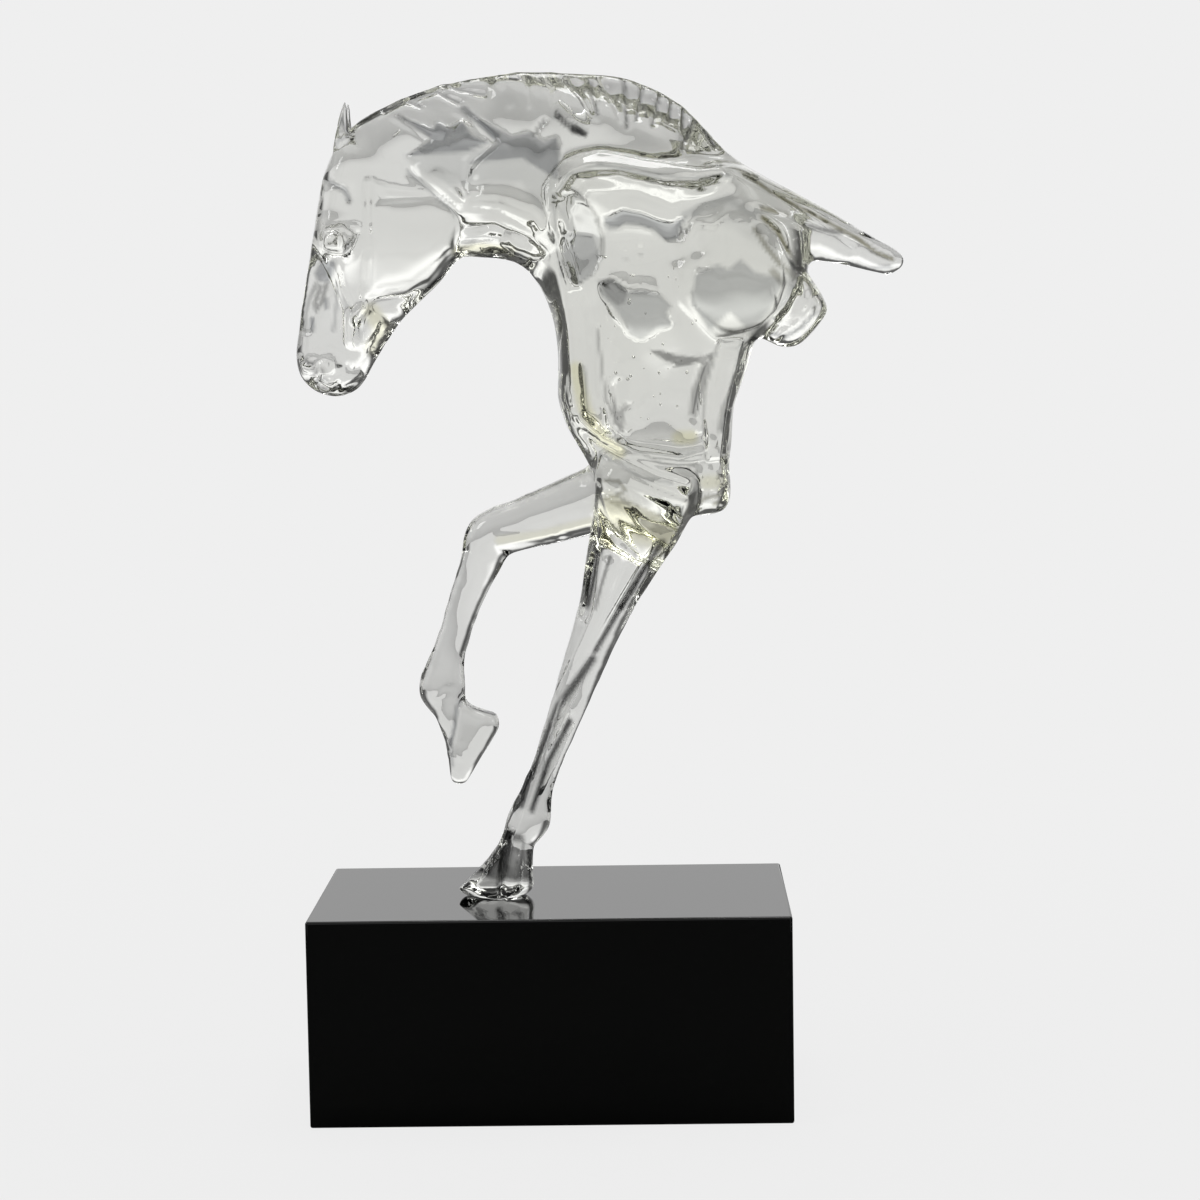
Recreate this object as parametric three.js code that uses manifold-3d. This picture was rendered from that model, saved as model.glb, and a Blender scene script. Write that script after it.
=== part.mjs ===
// Clear resin sculpture of a horse's forequarters on a black gloss plinth.
// The horse is one solid casting: bowed head, arched neck with an upright mane, shoulder and chest,
// a broken-off spur of the back, one raised foreleg and one standing foreleg whose hoof is glued
// to the plinth. Millimetres, +Z up, origin at the centre of the plinth's underside, head to -X.
import * as THREE from "three";
import { mergeVertices } from "three/addons/utils/BufferGeometryUtils.js";
import Module from "manifold-3d";

const wasm = await Module();
wasm.setup();

// Driving dimensions, in millimetres.
const PLINTH_WIDTH = 240;
const PLINTH_DEPTH = 138;
const PLINTH_HEIGHT = 104;
const PLINTH_EDGE = 1.2; // round on every edge of the plinth
const FIGURE_HEIGHT = 417; // from the standing hoof's sole to the crest of the neck
const HOOF_INSET_X = 91; // from the plinth's left end to the middle of the standing hoof
const FIGURE_SHIFT_Y = 2; // from the plinth's middle to the plane that halves the horse
const GLUE_LINE = 0.3; // between the sole and the plinth

// The horse is drawn in hundredths of its own height: x and z in the side view, measured from
// the middle of the standing hoof's sole, and y across it, from the plane that halves the horse.
const UNIT = FIGURE_HEIGHT / 100;
const SKIN_CELL = 1.55; // size of the mesh's faces in the side view, in the same hundredths
const SKIN_CELL_Y = 1.1; // and across the horse
const LEG_CELL_SHARE = 0.7; // how much narrower the faces are on the legs
const SKIN_MARGIN = 3; // clear space kept round the outlines while the skin is made
const SKIN_REACH_Y = 12; // and to each side of the plane that halves the horse

// Closed outlines in the side view, each as [x, z].
const HEAD_OUTLINE = [
  [-15.2, 92.0], [-17.3, 91.8], [-18.5, 90.0], [-19.4, 87.9], [-20.0, 85.2], [-20.5, 82.4],
  [-21.3, 78.0], [-22.2, 73.2], [-22.8, 69.4], [-23.3, 66.2], [-22.9, 64.1], [-21.5, 62.4],
  [-19.2, 61.3], [-17.2, 61.4], [-15.4, 62.6], [-13.9, 65.0], [-12.0, 68.0], [-10.1, 70.6],
  [-7.7, 72.9], [-5.2, 75.3], [-3.2, 78.4], [-2.4, 82.0], [-4.0, 86.0], [-9.0, 90.0],
];
const NECK_OUTLINE = [
  [-16.4, 91.4], [-14.6, 93.6], [-10.9, 95.0], [-5.0, 96.2], [2.0, 97.2], [9.0, 97.2],
  [16.0, 95.6], [22.0, 92.8], [27.0, 89.4], [31.0, 86.6], [30.0, 80.0], [20.0, 72.0],
  [11.5, 68.5], [8.9, 70.3], [7.5, 72.7], [6.1, 75.1], [4.6, 76.8], [2.4, 77.7], [-1.2, 77.9],
  [-4.6, 78.9], [-10.0, 83.0],
];
const MANE_OUTLINE = [
  [-15.9, 92.2], [-15.0, 93.9], [-13.2, 95.0], [-11.2, 96.3], [-7.4, 97.9], [-2.9, 99.1],
  [2.3, 99.9], [7.1, 100.0], [11.6, 99.9], [15.2, 99.6], [18.2, 98.9], [21.3, 97.6],
  [24.0, 95.9], [26.6, 93.4], [28.6, 91.0], [31.0, 88.4], [27.0, 86.0], [20.0, 87.4],
  [9.0, 89.6], [-3.0, 89.2], [-12.0, 89.4],
];
const TORSO_OUTLINE = [
  [7.2, 84.8], [8.8, 88.3], [11.4, 90.2], [14.6, 90.5], [19.0, 89.7], [24.0, 88.8], [29.6, 88.0],
  [34.4, 85.2], [37.6, 82.0], [38.2, 77.4], [37.0, 72.6], [34.8, 69.4], [32.6, 67.4],
  [31.9, 65.1], [30.9, 62.2], [29.9, 59.0], [29.7, 55.5], [29.3, 52.4], [29.5, 49.2],
  [29.0, 47.0], [27.0, 46.3], [22.0, 46.6], [16.0, 48.4], [13.0, 50.8], [11.9, 53.3],
  [10.5, 55.7], [9.2, 58.2], [8.6, 60.8], [8.7, 64.3], [8.5, 68.4], [7.9, 72.4], [7.1, 77.2],
  [6.8, 81.2],
];
const BACK_OUTLINE = [
  [22.0, 88.0], [27.0, 88.8], [31.0, 88.5], [35.3, 86.4], [39.5, 84.1], [43.6, 81.7],
  [47.4, 79.4], [50.3, 77.8], [51.1, 76.6], [50.0, 75.4], [47.8, 75.1], [45.4, 75.8],
  [43.0, 76.5], [39.9, 76.9], [37.6, 77.2], [34.0, 79.0], [28.0, 83.0],
];
const RIB_OUTLINE = [
  [35.0, 77.6], [38.2, 76.6], [39.6, 74.6], [41.2, 72.0], [41.4, 70.8], [40.4, 69.2],
  [39.0, 67.6], [37.8, 66.7], [36.5, 66.4], [35.0, 66.8], [33.0, 68.2], [30.0, 71.0],
];
const ELBOW_OUTLINE = [
  [13.6, 52.6], [13.2, 49.6], [13.3, 46.4], [14.6, 43.9], [17.4, 42.0], [20.4, 41.2],
  [22.6, 43.2], [24.4, 46.4], [25.6, 49.6], [24.0, 53.0], [18.6, 54.4],
];
const RAISED_HOOF_OUTLINE = [
  [-4.8, 23.6], [-2.8, 22.6], [-0.8, 21.9], [0.5, 21.5], [0.8, 20.7], [-0.4, 18.4], [-2.2, 15.7],
  [-3.9, 12.9], [-4.9, 12.0], [-5.7, 13.3], [-6.0, 16.1], [-6.5, 18.8], [-7.1, 21.0],
  [-7.4, 23.4],
];
const STANDING_HOOF_OUTLINE = [
  [-5.2, -0.9], [-5.1, 0.2], [-4.0, 1.5], [-2.5, 2.9], [-1.3, 4.2], [0.2, 5.8], [2.6, 6.8],
  [4.4, 6.0], [4.5, 4.3], [4.7, 1.8], [4.9, 0.2], [4.9, -0.9], [0.0, -1.2],
];

// Legs as stations down their length: [x, z, half thickness in the side view, y, half width].
const STANDING_LEG = [
  [20.2, 52.6, 6.6, -3.6, 3.8], [18.1, 46.4, 5.5, -4.4, 3.9], [16.2, 41.4, 4.4, -4.5, 3.4],
  [14.3, 36.4, 3.4, -4.3, 2.8], [12.4, 31.5, 2.8, -4.0, 2.5], [10.5, 26.6, 2.45, -3.7, 2.3],
  [9.1, 22.8, 2.1, -3.5, 2.3], [7.7, 19.2, 1.95, -3.2, 1.8], [6.6, 16.4, 1.8, -3.0, 1.6],
  [5.7, 14.0, 1.9, -2.8, 1.6], [4.8, 11.6, 2.2, -2.7, 1.8], [4.2, 9.3, 2.7, -2.6, 2.2],
  [2.7, 7.0, 1.9, -2.5, 1.9], [2.2, 4.6, 2.1, -2.4, 2.1],
];
const RAISED_LEG = [
  [19.5, 50.2, 5.0, 3.4, 3.8], [13.6, 48.3, 4.2, 4.2, 3.6], [9.6, 47.0, 3.85, 4.4, 3.2],
  [6.0, 45.9, 3.5, 4.5, 2.9], [2.8, 44.9, 3.2, 4.5, 2.6], [-0.3, 43.7, 3.1, 4.5, 2.5],
  [-1.3, 41.0, 2.7, 4.5, 2.3], [-2.4, 38.5, 2.35, 4.4, 2.0], [-3.4, 36.0, 2.2, 4.4, 1.8],
  [-4.3, 33.5, 2.05, 4.4, 1.6], [-5.1, 31.0, 2.0, 4.3, 1.6], [-5.9, 28.6, 2.2, 4.3, 1.7],
  [-6.4, 26.2, 2.7, 4.2, 2.2], [-6.6, 24.6, 2.95, 4.2, 2.3], [-6.1, 22.6, 1.9, 4.2, 2.0],
  [-5.4, 20.6, 1.6, 4.2, 1.9],
];

// The ear from its root to its tip: [x, y, z, half thickness in the side view, half width].
const EAR = [
  [-16.6, 1.5, 89.6, 1.3, 1.1], [-16.7, 1.6, 91.2, 1.25, 1.1], [-16.7, 1.7, 93.2, 0.85, 0.8],
  [-16.6, 1.75, 94.8, 0.55, 0.55], [-16.4, 1.8, 96.0, 0.3, 0.35], [-16.3, 1.8, 97.0, 0, 0],
];

// Local changes of a slab's half width: [x, z, reach, rise].
const HEAD_SWELLS = [
  [-18.0, 80.6, 3.2, 1.25], // brow and eye
  [-7.6, 79.6, 6.0, 1.1], // round cheek
  [-16.5, 88.0, 4.0, 0.6], // forehead
  [-19.5, 64.6, 2.8, 0.35], // nostrils and lips
  [-17.2, 70.5, 3.2, -0.35], // hollow of the face
];
const HEAD_LINES = [
  [0.5, 1.9, [-13.6, 84.0], [-14.4, 78.4], [-15.4, 70.0]], // facial crest
];
const NECK_SWELLS = [
  [-1.0, 85.0, 5.5, -0.7], // hollow behind the cheek
  [8.0, 84.0, 8.0, 1.2], // root of the neck
  [2.0, 80.0, 3.0, 0.8], // windpipe
];
const TORSO_SWELLS = [
  [31.0, 76.0, 5.5, 1.5], // shoulder muscle
  [19.0, 70.8, 4.4, 0.8],
  [11.6, 79.4, 3.4, -1.5], // pocket in front of the shoulder
  [25.6, 80.4, 4.0, -1.2], // hollow under the shoulder blade
  [12.5, 62.0, 6.0, 0.8], // breast
  [22.0, 60.0, 5.0, -0.6],
  [28.0, 50.0, 3.4, -1.2],
];

// Raised or sunk lines on both sides of the torso: [rise, reach, [x, z], ...].
const TORSO_LINES = [
  [0.9, 2.3, [10.6, 85.6], [14.2, 85.9], [19.0, 84.4], [24.0, 82.6], [27.4, 81.8], [33.0, 83.2]],
  [-0.8, 2.0, [29.0, 67.4], [28.2, 62.0], [26.6, 57.6], [24.6, 53.6], [20.0, 52.4], [14.6, 54.6]],
  [-0.6, 2.2, [13.4, 72.0], [13.2, 66.0], [14.4, 60.0]],
];

const clamp01 = (t) => Math.min(1, Math.max(0, t));

// Joins two distance fields with a fillet of about the given reach.
function blend(a, b, reach) {
  const overlap = Math.max(reach - Math.abs(a - b), 0) / reach;
  return Math.min(a, b) - (overlap * overlap * reach) / 4;
}

// Square of the distance from a point to a straight run, and where along the run it is nearest.
function nearestOnRun(ax, az, bx, bz, x, z) {
  const ex = bx - ax;
  const ez = bz - az;
  const along = clamp01(((x - ax) * ex + (z - az) * ez) / (ex * ex + ez * ez));
  return { along, square: (x - ax - ex * along) ** 2 + (z - az - ez * along) ** 2 };
}

// How far a point of the side view lies inside a closed smooth outline, negative outside it.
function depthIn(points, runsPerPoint = 3) {
  const corners = points.map(([x, z]) => new THREE.Vector3(x, 0, z));
  const curve = new THREE.CatmullRomCurve3(corners, true, "centripetal");
  const run = curve.getPoints(points.length * runsPerPoint).slice(0, -1);
  return (x, z) => {
    let square = Infinity;
    let inside = false;
    run.forEach((b, i) => {
      const a = run[(i + run.length - 1) % run.length];
      square = Math.min(square, nearestOnRun(a.x, a.z, b.x, b.z, x, z).square);
      const crosses = a.z > z !== b.z > z;
      if (crosses && x < a.x + ((z - a.z) / (b.z - a.z)) * (b.x - a.x)) inside = !inside;
    });
    return (inside ? 1 : -1) * Math.sqrt(square);
  };
}

// A slab with the given outline and a rounded rim, halved by the plane y = middle. Its sides are
// flat, swollen or sunk where listed.
function slab({ outline, rim, halfWidth, middle = 0, swells = [], lines = [] }) {
  const depth = depthIn(outline);
  const widthAt = (x, z) => {
    let half = typeof halfWidth === "function" ? halfWidth(x, z) : halfWidth;
    for (const [sx, sz, reach, rise] of swells)
      half += rise * Math.exp(-((x - sx) ** 2 + (z - sz) ** 2) / reach ** 2);
    for (const [rise, reach, ...points] of lines) {
      let square = Infinity;
      for (let i = 1; i < points.length; i++)
        square = Math.min(square, nearestOnRun(...points[i - 1], ...points[i], x, z).square);
      half += rise * Math.exp(-square / reach ** 2);
    }
    return half;
  };
  return (x, y, z) => {
    const half = widthAt(x, z);
    const atRim = Math.max(0, 1 - depth(x, z) / rim);
    return (Math.hypot(atRim, (y - middle) / half) - 1) * Math.min(rim, half);
  };
}

// A limb of oval section through its stations.
function limb(stations, runsPerStation = 3) {
  const spline = (read) => {
    const points = stations.map((station) => new THREE.Vector3(...read(station)));
    const curve = new THREE.CatmullRomCurve3(points, false, "catmullrom");
    return curve.getPoints((stations.length - 1) * runsPerStation);
  };
  const places = spline(([x, z, , y]) => [x, y, z]);
  const sizes = spline(([, , half, , halfWidth]) => [half, halfWidth, 0]);
  return (x, y, z) => {
    let nearest = Infinity;
    for (let i = 1; i < places.length; i++) {
      const a = places[i - 1];
      const b = places[i];
      const { along, square } = nearestOnRun(a.x, a.z, b.x, b.z, x, z);
      const half = sizes[i - 1].x + (sizes[i].x - sizes[i - 1].x) * along;
      const halfWidth = sizes[i - 1].y + (sizes[i].y - sizes[i - 1].y) * along;
      const across = (y - a.y - (b.y - a.y) * along) * (half / halfWidth);
      nearest = Math.min(nearest, Math.sqrt(square + across * across) - half);
    }
    return nearest;
  };
}

// Half width that changes evenly from one value to another between two points of the side view.
function taper([ax, az, from], [bx, bz, to]) {
  return (x, z) => {
    const length = (bx - ax) ** 2 + (bz - az) ** 2;
    const along = clamp01(((x - ax) * (bx - ax) + (z - az) * (bz - az)) / length);
    return from + (to - from) * along * along * (3 - 2 * along);
  };
}

// The whole horse as one distance field, negative inside the resin.
function horseField() {
  const head = slab({
    outline: HEAD_OUTLINE,
    rim: 2.5,
    halfWidth: taper([-12, 86, 3.5], [-19, 65, 2.7]),
    swells: HEAD_SWELLS,
    lines: HEAD_LINES,
  });
  const neck = slab({
    outline: NECK_OUTLINE,
    rim: 5.0,
    halfWidth: taper([-12, 90, 3.4], [22, 80, 5.6]),
    swells: NECK_SWELLS,
  });
  const mane = slab({ outline: MANE_OUTLINE, rim: 1.6, halfWidth: 1.5 });
  const torso = slab({
    outline: TORSO_OUTLINE,
    rim: 2.9,
    halfWidth: taper([18, 84, 7.4], [22, 48, 6.2]),
    swells: TORSO_SWELLS,
    lines: TORSO_LINES,
  });
  const back = slab({
    outline: BACK_OUTLINE,
    rim: 1.5,
    halfWidth: taper([27, 86, 5.8], [50, 77, 1.9]),
  });
  const ribs = slab({ outline: RIB_OUTLINE, rim: 1.4, halfWidth: 4.2 });
  const elbow = slab({ outline: ELBOW_OUTLINE, rim: 1.6, halfWidth: 4.3, middle: -3.4 });
  const standing = limb(STANDING_LEG);
  const raised = limb(RAISED_LEG);
  const standingHoof = slab({
    outline: STANDING_HOOF_OUTLINE,
    rim: 1.5,
    halfWidth: taper([2, 0, 3.1], [2, 6, 1.9]),
    middle: -2.4,
  });
  const raisedHoof = slab({
    outline: RAISED_HOOF_OUTLINE,
    rim: 1.0,
    halfWidth: 2.4,
    middle: 4.2,
  });
  return (x, y, z) => {
    let d = blend(head(x, y, z), neck(x, y, z), 1.2);
    d = blend(d, mane(x, y, z), 2.2);
    d = blend(d, torso(x, y, z), 1.0);
    d = blend(d, back(x, y, z), 1.2);
    d = blend(d, ribs(x, y, z), 0.7);
    const standingLeg = blend(standing(x, y, z), standingHoof(x, y, z), 1.0);
    const raisedLeg = blend(raised(x, y, z), raisedHoof(x, y, z), 0.6);
    d = blend(d, Math.min(standingLeg, raisedLeg), 1.0);
    d = blend(d, elbow(x, y, z), 0.7);
    return Math.max(d, -z);
  };
}

// Skins a field with four-sided faces, one corner in every cell of a grid that the surface cuts.
// The grid has the given number of lines each way, and placeOf tells where they meet.
function skinOf(field, [nx, ny, nz], placeOf) {
  const index = (i, j, k) => (k * ny + j) * nx + i;
  const value = new Float32Array(nx * ny * nz);
  for (let k = 0; k < nz; k++)
    for (let j = 0; j < ny; j++)
      for (let i = 0; i < nx; i++) {
        const p = placeOf(i, j, k);
        value[index(i, j, k)] = field(p.x, p.y, p.z);
      }

  // The skin would meet itself wherever the points round a grid square alternate between inside
  // and outside, so one more of them is taken as inside.
  const step = [index(1, 0, 0), index(0, 1, 0), index(0, 0, 1)];
  let alternating = true;
  while (alternating) {
    alternating = false;
    for (let here = 0; here + step[1] + step[2] < value.length; here++)
      for (let axis = 0; axis < 3; axis++) {
        const u = step[(axis + 1) % 3];
        const v = step[(axis + 2) % 3];
        const [a, b, c, d] = [here, here + u, here + u + v, here + v].map((n) => value[n] < 0);
        if (a !== c || b !== d || a === b) continue;
        value[a ? here + u : here] = -1e-4;
        alternating = true;
      }
  }

  const offsets = [];
  const edges = [];
  for (let corner = 0; corner < 8; corner++) {
    offsets.push([corner & 1, (corner >> 1) & 1, (corner >> 2) & 1]);
    for (const bit of [1, 2, 4])
      if (!(corner & bit)) edges.push([corner, corner | bit]);
  }

  const corners = [];
  const cornerOf = new Int32Array(nx * ny * nz).fill(-1);
  for (let k = 0; k < nz - 1; k++)
    for (let j = 0; j < ny - 1; j++)
      for (let i = 0; i < nx - 1; i++) {
        const at = offsets.map(([di, dj, dk]) => value[index(i + di, j + dj, k + dk)]);
        const middle = new THREE.Vector3();
        let crossings = 0;
        for (const [a, b] of edges) {
          if (at[a] < 0 === at[b] < 0) continue;
          const t = at[a] / (at[a] - at[b]);
          const [ax, ay, az] = offsets[a];
          const [bx, by, bz] = offsets[b];
          middle.x += ax + (bx - ax) * t;
          middle.y += ay + (by - ay) * t;
          middle.z += az + (bz - az) * t;
          crossings++;
        }
        if (!crossings) continue;
        middle.divideScalar(crossings);
        const corner = placeOf(i + middle.x, j + middle.y, k + middle.z);
        cornerOf[index(i, j, k)] = corners.push(corner) - 1;
      }

  const faces = [];
  for (let k = 1; k < nz - 1; k++)
    for (let j = 1; j < ny - 1; j++)
      for (let i = 1; i < nx - 1; i++)
        for (let axis = 0; axis < 3; axis++) {
          const here = index(i, j, k);
          const inHere = value[here] < 0;
          if (inHere === value[here + step[axis]] < 0) continue;
          const u = step[(axis + 1) % 3];
          const v = step[(axis + 2) % 3];
          const face = [here - u - v, here - v, here, here - u].map((n) => cornerOf[n]);
          faces.push(inHere ? face : face.reverse());
        }
  return { corners, faces };
}

// Evens out the corners along the surface and draws them back onto it.
function settle({ corners, faces }, field, cell, rounds) {
  const near = corners.map(() => new Set());
  for (const face of faces)
    face.forEach((n, i) => {
      near[n].add(face[(i + 1) % 4]);
      near[n].add(face[(i + 3) % 4]);
    });
  const reach = cell * 0.05;
  const slope = (p) =>
    new THREE.Vector3(
      field(p.x + reach, p.y, p.z) - field(p.x - reach, p.y, p.z),
      field(p.x, p.y + reach, p.z) - field(p.x, p.y - reach, p.z),
      field(p.x, p.y, p.z + reach) - field(p.x, p.y, p.z - reach),
    ).divideScalar(2 * reach);
  for (let round = 0; round < rounds; round++) {
    const moved = corners.map((p, n) => {
      const mean = new THREE.Vector3();
      for (const m of near[n]) mean.add(corners[m]);
      const goal = p.clone().lerp(mean.divideScalar(near[n].size), 0.5);
      const g = slope(goal);
      const step = field(goal.x, goal.y, goal.z) / Math.max(g.lengthSq(), 0.2);
      const limited = Math.max(-cell * 0.4, Math.min(cell * 0.4, step));
      return goal.addScaledVector(g, -limited);
    });
    moved.forEach((p, n) => corners[n].copy(p));
  }
  return { corners, faces };
}

// Body, neck, head and legs, with the sole flat on z = 0.
function bodyGeometry() {
  const field = horseField();
  const drawn = [
    ...HEAD_OUTLINE, ...NECK_OUTLINE, ...MANE_OUTLINE, ...TORSO_OUTLINE, ...BACK_OUTLINE,
    ...RIB_OUTLINE, ...ELBOW_OUTLINE, ...RAISED_HOOF_OUTLINE, ...STANDING_HOOF_OUTLINE,
  ];
  const xs = drawn.map(([x]) => x);
  const zs = drawn.map(([, z]) => z);
  const low = [Math.floor(Math.min(...xs)) - SKIN_MARGIN, -SKIN_REACH_Y, -1.5 * SKIN_CELL];
  const high = [Math.max(...xs) + SKIN_MARGIN, SKIN_REACH_Y, Math.max(...zs) + SKIN_MARGIN];
  const cells = [SKIN_CELL, SKIN_CELL_Y, SKIN_CELL];
  const lines = cells.map((cell, i) => Math.ceil((high[i] - low[i]) / cell) + 1);
  const placeOf = (i, j, k) => {
    const z = low[2] + k * SKIN_CELL;
    const narrowing = LEG_CELL_SHARE + (1 - LEG_CELL_SHARE) * clamp01((z - 36) / 20);
    const x = 8 + (low[0] + i * SKIN_CELL - 8) * narrowing;
    return new THREE.Vector3(x, low[1] + j * SKIN_CELL_Y, z);
  };
  const skin = skinOf(field, lines, placeOf);
  const { corners, faces } = settle(skin, field, SKIN_CELL_Y, 5);
  const soleReach = SKIN_CELL * 0.5;
  const position = corners.flatMap((p) => [p.x, p.y, p.z < soleReach ? 0 : p.z]);
  const triangles = faces.flatMap(([a, b, c, d]) => {
    const short = corners[a].distanceTo(corners[c]) <= corners[b].distanceTo(corners[d]);
    return short ? [a, b, c, a, c, d] : [a, b, d, b, c, d];
  });
  const geometry = new THREE.BufferGeometry();
  geometry.setAttribute("position", new THREE.Float32BufferAttribute(position, 3));
  return geometry.setIndex(triangles);
}

// One pointed ear on the given side, -1 for the near one and 1 for the far one.
function earGeometry(side, facets = 10) {
  const position = [];
  const triangles = [];
  const tip = (EAR.length - 1) * facets;
  EAR.forEach(([x, y, z, half, halfWidth], ring) => {
    for (let i = 0; i < facets; i++) {
      const turn = (2 * Math.PI * i) / facets;
      position.push(x + half * Math.cos(turn), side * y + halfWidth * Math.sin(turn), z);
      const a = ring * facets + i;
      const b = ring * facets + ((i + 1) % facets);
      if (b + facets < tip) triangles.push(a, b, b + facets, a, b + facets, a + facets);
      else if (a < tip) triangles.push(a, b, tip);
    }
  });
  for (let i = 2; i < facets; i++) triangles.push(0, i, i - 1);
  const geometry = new THREE.BufferGeometry();
  geometry.setAttribute("position", new THREE.Float32BufferAttribute(position, 3));
  return geometry.setIndex(triangles);
}

// A closed solid for joining, from a geometry whose shared corners are merged first.
function solidOf(geometry) {
  const merged = mergeVertices(geometry, 1e-4);
  return new wasm.Manifold(
    new wasm.Mesh({
      numProp: 3,
      vertProperties: merged.getAttribute("position").array,
      triVerts: new Uint32Array(merged.getIndex().array),
    }),
  );
}

// The whole figure as one solid, in millimetres.
function horseGeometry() {
  const joined = solidOf(bodyGeometry())
    .add(solidOf(earGeometry(-1)))
    .add(solidOf(earGeometry(1)))
    .getMesh();
  const geometry = new THREE.BufferGeometry();
  const position = new THREE.Float32BufferAttribute(joined.vertProperties, joined.numProp);
  geometry.setAttribute("position", position);
  geometry.setIndex(Array.from(joined.triVerts));
  geometry.scale(UNIT, UNIT, UNIT);
  geometry.computeVertexNormals();
  return geometry;
}

// A block with every edge rounded, standing on z = 0.
function plinthGeometry() {
  const halfX = PLINTH_WIDTH / 2 - PLINTH_EDGE;
  const halfY = PLINTH_DEPTH / 2 - PLINTH_EDGE;
  const shape = new THREE.Shape();
  shape.moveTo(-halfX, -halfY);
  shape.lineTo(halfX, -halfY);
  shape.lineTo(halfX, halfY);
  shape.lineTo(-halfX, halfY);
  shape.closePath();
  const geometry = new THREE.ExtrudeGeometry(shape, {
    depth: PLINTH_HEIGHT - 2 * PLINTH_EDGE,
    bevelThickness: PLINTH_EDGE,
    bevelSize: PLINTH_EDGE,
    bevelSegments: 3,
    steps: 1,
  });
  return geometry.translate(0, 0, PLINTH_EDGE);
}

const clearResin = new THREE.MeshStandardMaterial({
  color: 0xe9ebe4,
  roughness: 0.04,
  metalness: 0,
  transparent: true,
  opacity: 0.35,
});
const blackLacquer = new THREE.MeshStandardMaterial({
  color: 0x050605,
  roughness: 0.08,
  metalness: 0,
});

const plinth = new THREE.Mesh(plinthGeometry(), blackLacquer);
plinth.name = "plinth";

const horse = new THREE.Mesh(horseGeometry(), clearResin);
horse.name = "horse";
horse.position.set(
  HOOF_INSET_X - PLINTH_WIDTH / 2,
  FIGURE_SHIFT_Y,
  PLINTH_HEIGHT + GLUE_LINE,
);

const sculpture = new THREE.Group();
sculpture.add(plinth, horse);

export default sculpture;
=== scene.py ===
"""Clear resin horse on a black gloss plinth: the dressed model, its stage and its camera."""

import math
import random

import bmesh
import bpy
import numpy as np
from mathutils import Matrix, Vector, noise


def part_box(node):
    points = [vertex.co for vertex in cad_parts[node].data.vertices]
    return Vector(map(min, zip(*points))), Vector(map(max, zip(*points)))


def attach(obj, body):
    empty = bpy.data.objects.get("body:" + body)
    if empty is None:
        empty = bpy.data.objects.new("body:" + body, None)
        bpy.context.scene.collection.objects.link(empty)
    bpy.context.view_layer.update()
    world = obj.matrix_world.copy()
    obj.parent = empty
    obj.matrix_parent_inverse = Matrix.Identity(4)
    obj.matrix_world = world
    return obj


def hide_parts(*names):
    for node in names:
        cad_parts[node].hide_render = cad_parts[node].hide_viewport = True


bl_info = {
    "name": "Resin horse on a plinth",
    "version": (1, 0, 0),
    "blender": (4, 5, 0),
    "location": "3D View > Sidebar > Sculpture",
    "description": "Makes a clear resin horse on a black gloss plinth, with its studio stage",
    "category": "Add Mesh",
}

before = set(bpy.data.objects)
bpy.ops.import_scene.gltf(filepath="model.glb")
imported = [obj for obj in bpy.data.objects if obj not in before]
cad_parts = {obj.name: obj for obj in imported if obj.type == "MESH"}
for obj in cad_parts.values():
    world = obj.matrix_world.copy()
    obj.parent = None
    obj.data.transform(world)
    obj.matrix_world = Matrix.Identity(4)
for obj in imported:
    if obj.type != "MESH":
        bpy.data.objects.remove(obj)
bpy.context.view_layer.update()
HORSE_LOW, HORSE_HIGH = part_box("horse")
PLINTH_LOW, PLINTH_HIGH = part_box("plinth")
SETTINGS = "resin_horse_sculpture"

# The carving is drawn in hundredths of the figure's height, from the middle of the standing
# hoof's sole: u to the right and v up, as the side view shows them. Widths, reaches and edges
# are in the same hundredths.
MILLIMETRE = 0.001
UNIT = (HORSE_HIGH.z - HORSE_LOW.z) / 100
MUZZLE_TO_HOOF = 23.21
HOOF_X = HORSE_LOW.x + MUZZLE_TO_HOOF * UNIT
SOLE_Z = HORSE_LOW.z
MIDDLE_Y = (HORSE_LOW.y + HORSE_HIGH.y) / 2

# A face belongs to a side from this tilt towards it, and wholly so a little further round.
TILT_START = 0.125
TILT_GAIN = 1.6

# The carving fades out towards the sole, so the hoof stands flat on the plinth.
SOLE_PLAIN = 0.8
SOLE_FADE = 1.2

# Waves to a metre in the crackled spots, and in the slow and the quicker ripple.
CRACKLE_PITCH = 330.0
SLOW_PITCH = 42.0
QUICK_PITCH = 95.0
QUICK_SHARE = 0.5

# Outlines that are both carved and darkened with painted shade, or carved on both sides with their
# own depths.
SHOULDER_GROOVE = ((13.2, 85.2), (18.4, 84.9), (22.8, 83.2), (26.4, 84.2), (30.4, 84.6))
SHOULDER_BAND = (
    (14.5, 82.2), (16.9, 83.2), (19.2, 82.7), (21.2, 81.8), (22.6, 81.5), (24.3, 82.3),
    (23.4, 79.4), (22.0, 79.3), (20.6, 80.6), (18.8, 81.2), (17.1, 81.4), (16.2, 80.9),
    (15.0, 80.9),
)
CHEST_FOLD = (
    (13.8, 74.7), (15.6, 75.0), (16.7, 74.1), (17.4, 73.5), (19.0, 73.6), (21.0, 73.2),
    (22.5, 71.7), (21.9, 70.9), (22.7, 69.4), (20.7, 68.9), (18.9, 67.7), (17.5, 68.3),
    (16.7, 70.1), (15.5, 71.8), (14.1, 73.0),
)

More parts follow.
